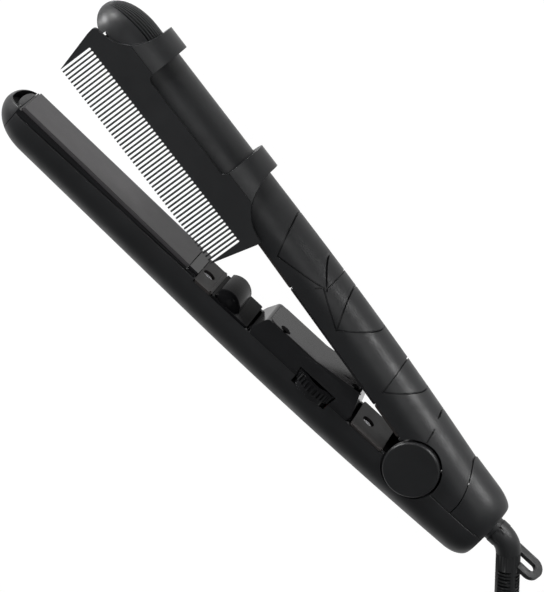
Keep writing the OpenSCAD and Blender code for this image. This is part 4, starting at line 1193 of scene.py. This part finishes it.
class STRAIGHTENER_OT_rear_cap(BuildOperator, Operator):
    """Shape the upper half of the tail"""
    bl_idname = "straightener.rear_cap"
    bl_label = "Rear Cap"
    build = staticmethod(make_rear_cap)


class STRAIGHTENER_OT_upper_shell(BuildOperator, Operator):
    """Shape the upper shell with the grooves of its grip"""
    bl_idname = "straightener.upper_shell"
    bl_label = "Upper Shell"
    build = staticmethod(make_upper_shell)


class STRAIGHTENER_OT_lower_tip(BuildOperator, Operator):
    """Shape the nose of the lower arm"""
    bl_idname = "straightener.lower_tip"
    bl_label = "Lower Nose"
    build = staticmethod(make_lower_tip)


class STRAIGHTENER_OT_upper_tip(BuildOperator, Operator):
    """Shape the ribbed nose of the upper arm"""
    bl_idname = "straightener.upper_tip"
    bl_label = "Upper Nose"
    build = staticmethod(make_upper_tip)


class STRAIGHTENER_OT_covers(BuildOperator, Operator):
    """Round the edges of the inner covers and the control housing"""
    bl_idname = "straightener.covers"
    bl_label = "Covers"

    def build(self):
        make_rounded(COVERS)


class STRAIGHTENER_OT_plates(BuildOperator, Operator):
    """Round the edges of the heating plates and their holders"""
    bl_idname = "straightener.plates"
    bl_label = "Plates"

    def build(self):
        make_rounded(PLATES)


class STRAIGHTENER_OT_hinge(BuildOperator, Operator):
    """Round the edges of the hinge caps"""
    bl_idname = "straightener.hinge"
    bl_label = "Hinge Caps"

    def build(self):
        make_rounded(HINGE)


class STRAIGHTENER_OT_guide(BuildOperator, Operator):
    """Shape the guide hump and its cover sheet"""
    bl_idname = "straightener.guide"
    bl_label = "Guide Hump"
    build = staticmethod(make_guide)


class STRAIGHTENER_OT_comb(BuildOperator, Operator):
    """Round the edges of the comb"""
    bl_idname = "straightener.comb"
    bl_label = "Comb"
    build = staticmethod(make_comb)


class STRAIGHTENER_OT_wheel(BuildOperator, Operator):
    """Round the edges of the temperature wheel"""
    bl_idname = "straightener.wheel"
    bl_label = "Wheel"
    build = staticmethod(make_wheel)


class STRAIGHTENER_OT_boot(BuildOperator, Operator):
    """Finish the cord boot and its swivel neck"""
    bl_idname = "straightener.boot"
    bl_label = "Cord Boot"
    build = staticmethod(make_boot)


class STRAIGHTENER_OT_wires(BuildOperator, Operator):
    """Lay the wires inside the arms and wind the spring"""
    bl_idname = "straightener.wires"
    bl_label = "Wires and Spring"
    build = staticmethod(make_wires)


class STRAIGHTENER_OT_inner_parts(BuildOperator, Operator):
    """Give the inner parts their finishes"""
    bl_idname = "straightener.inner_parts"
    bl_label = "Inner Parts"
    build = staticmethod(finish_plain_nodes)


class STRAIGHTENER_OT_stage(BuildOperator, Operator):
    """Set up the pale floor and the soft light"""
    bl_idname = "straightener.stage"
    bl_label = "Stage"
    build = staticmethod(make_stage)


# In the order in which they stand above
OPERATORS = BuildOperator.__subclasses__()


class STRAIGHTENER_PT_panel(Panel):
    """Lists the steps that build the straightener"""
    bl_idname = "STRAIGHTENER_PT_panel"
    bl_label = "Straightener"
    bl_space_type = "VIEW_3D"
    bl_region_type = "UI"
    bl_category = "Straightener"

    def draw(self, context):
        scene = context.scene
        for name, group in GROUPS.items():
            column = self.layout.column()
            for size in group.__annotations__:
                column.prop(getattr(scene, name), size)
        for operator in OPERATORS:
            self.layout.operator(operator.bl_idname)


GROUPS = {
    "straightener_sizes": StraightenerSizes,
    "straightener_finishes": StraightenerFinishes,
    "straightener_stage": StraightenerStage,
}
CLASSES = [*GROUPS.values(), *OPERATORS, STRAIGHTENER_PT_panel]


def register():
    for cls in CLASSES:
        bpy.utils.register_class(cls)
    for name, group in GROUPS.items():
        setattr(bpy.types.Scene, name, PointerProperty(type=group))


def unregister():
    for name in GROUPS:
        delattr(bpy.types.Scene, name)
    for cls in reversed(CLASSES):
        bpy.utils.unregister_class(cls)


def main():
    register()
    for operator in OPERATORS:
        area, name = operator.bl_idname.split(".")
        getattr(getattr(bpy.ops, area), name)()


if __name__ == "__main__":
    main()
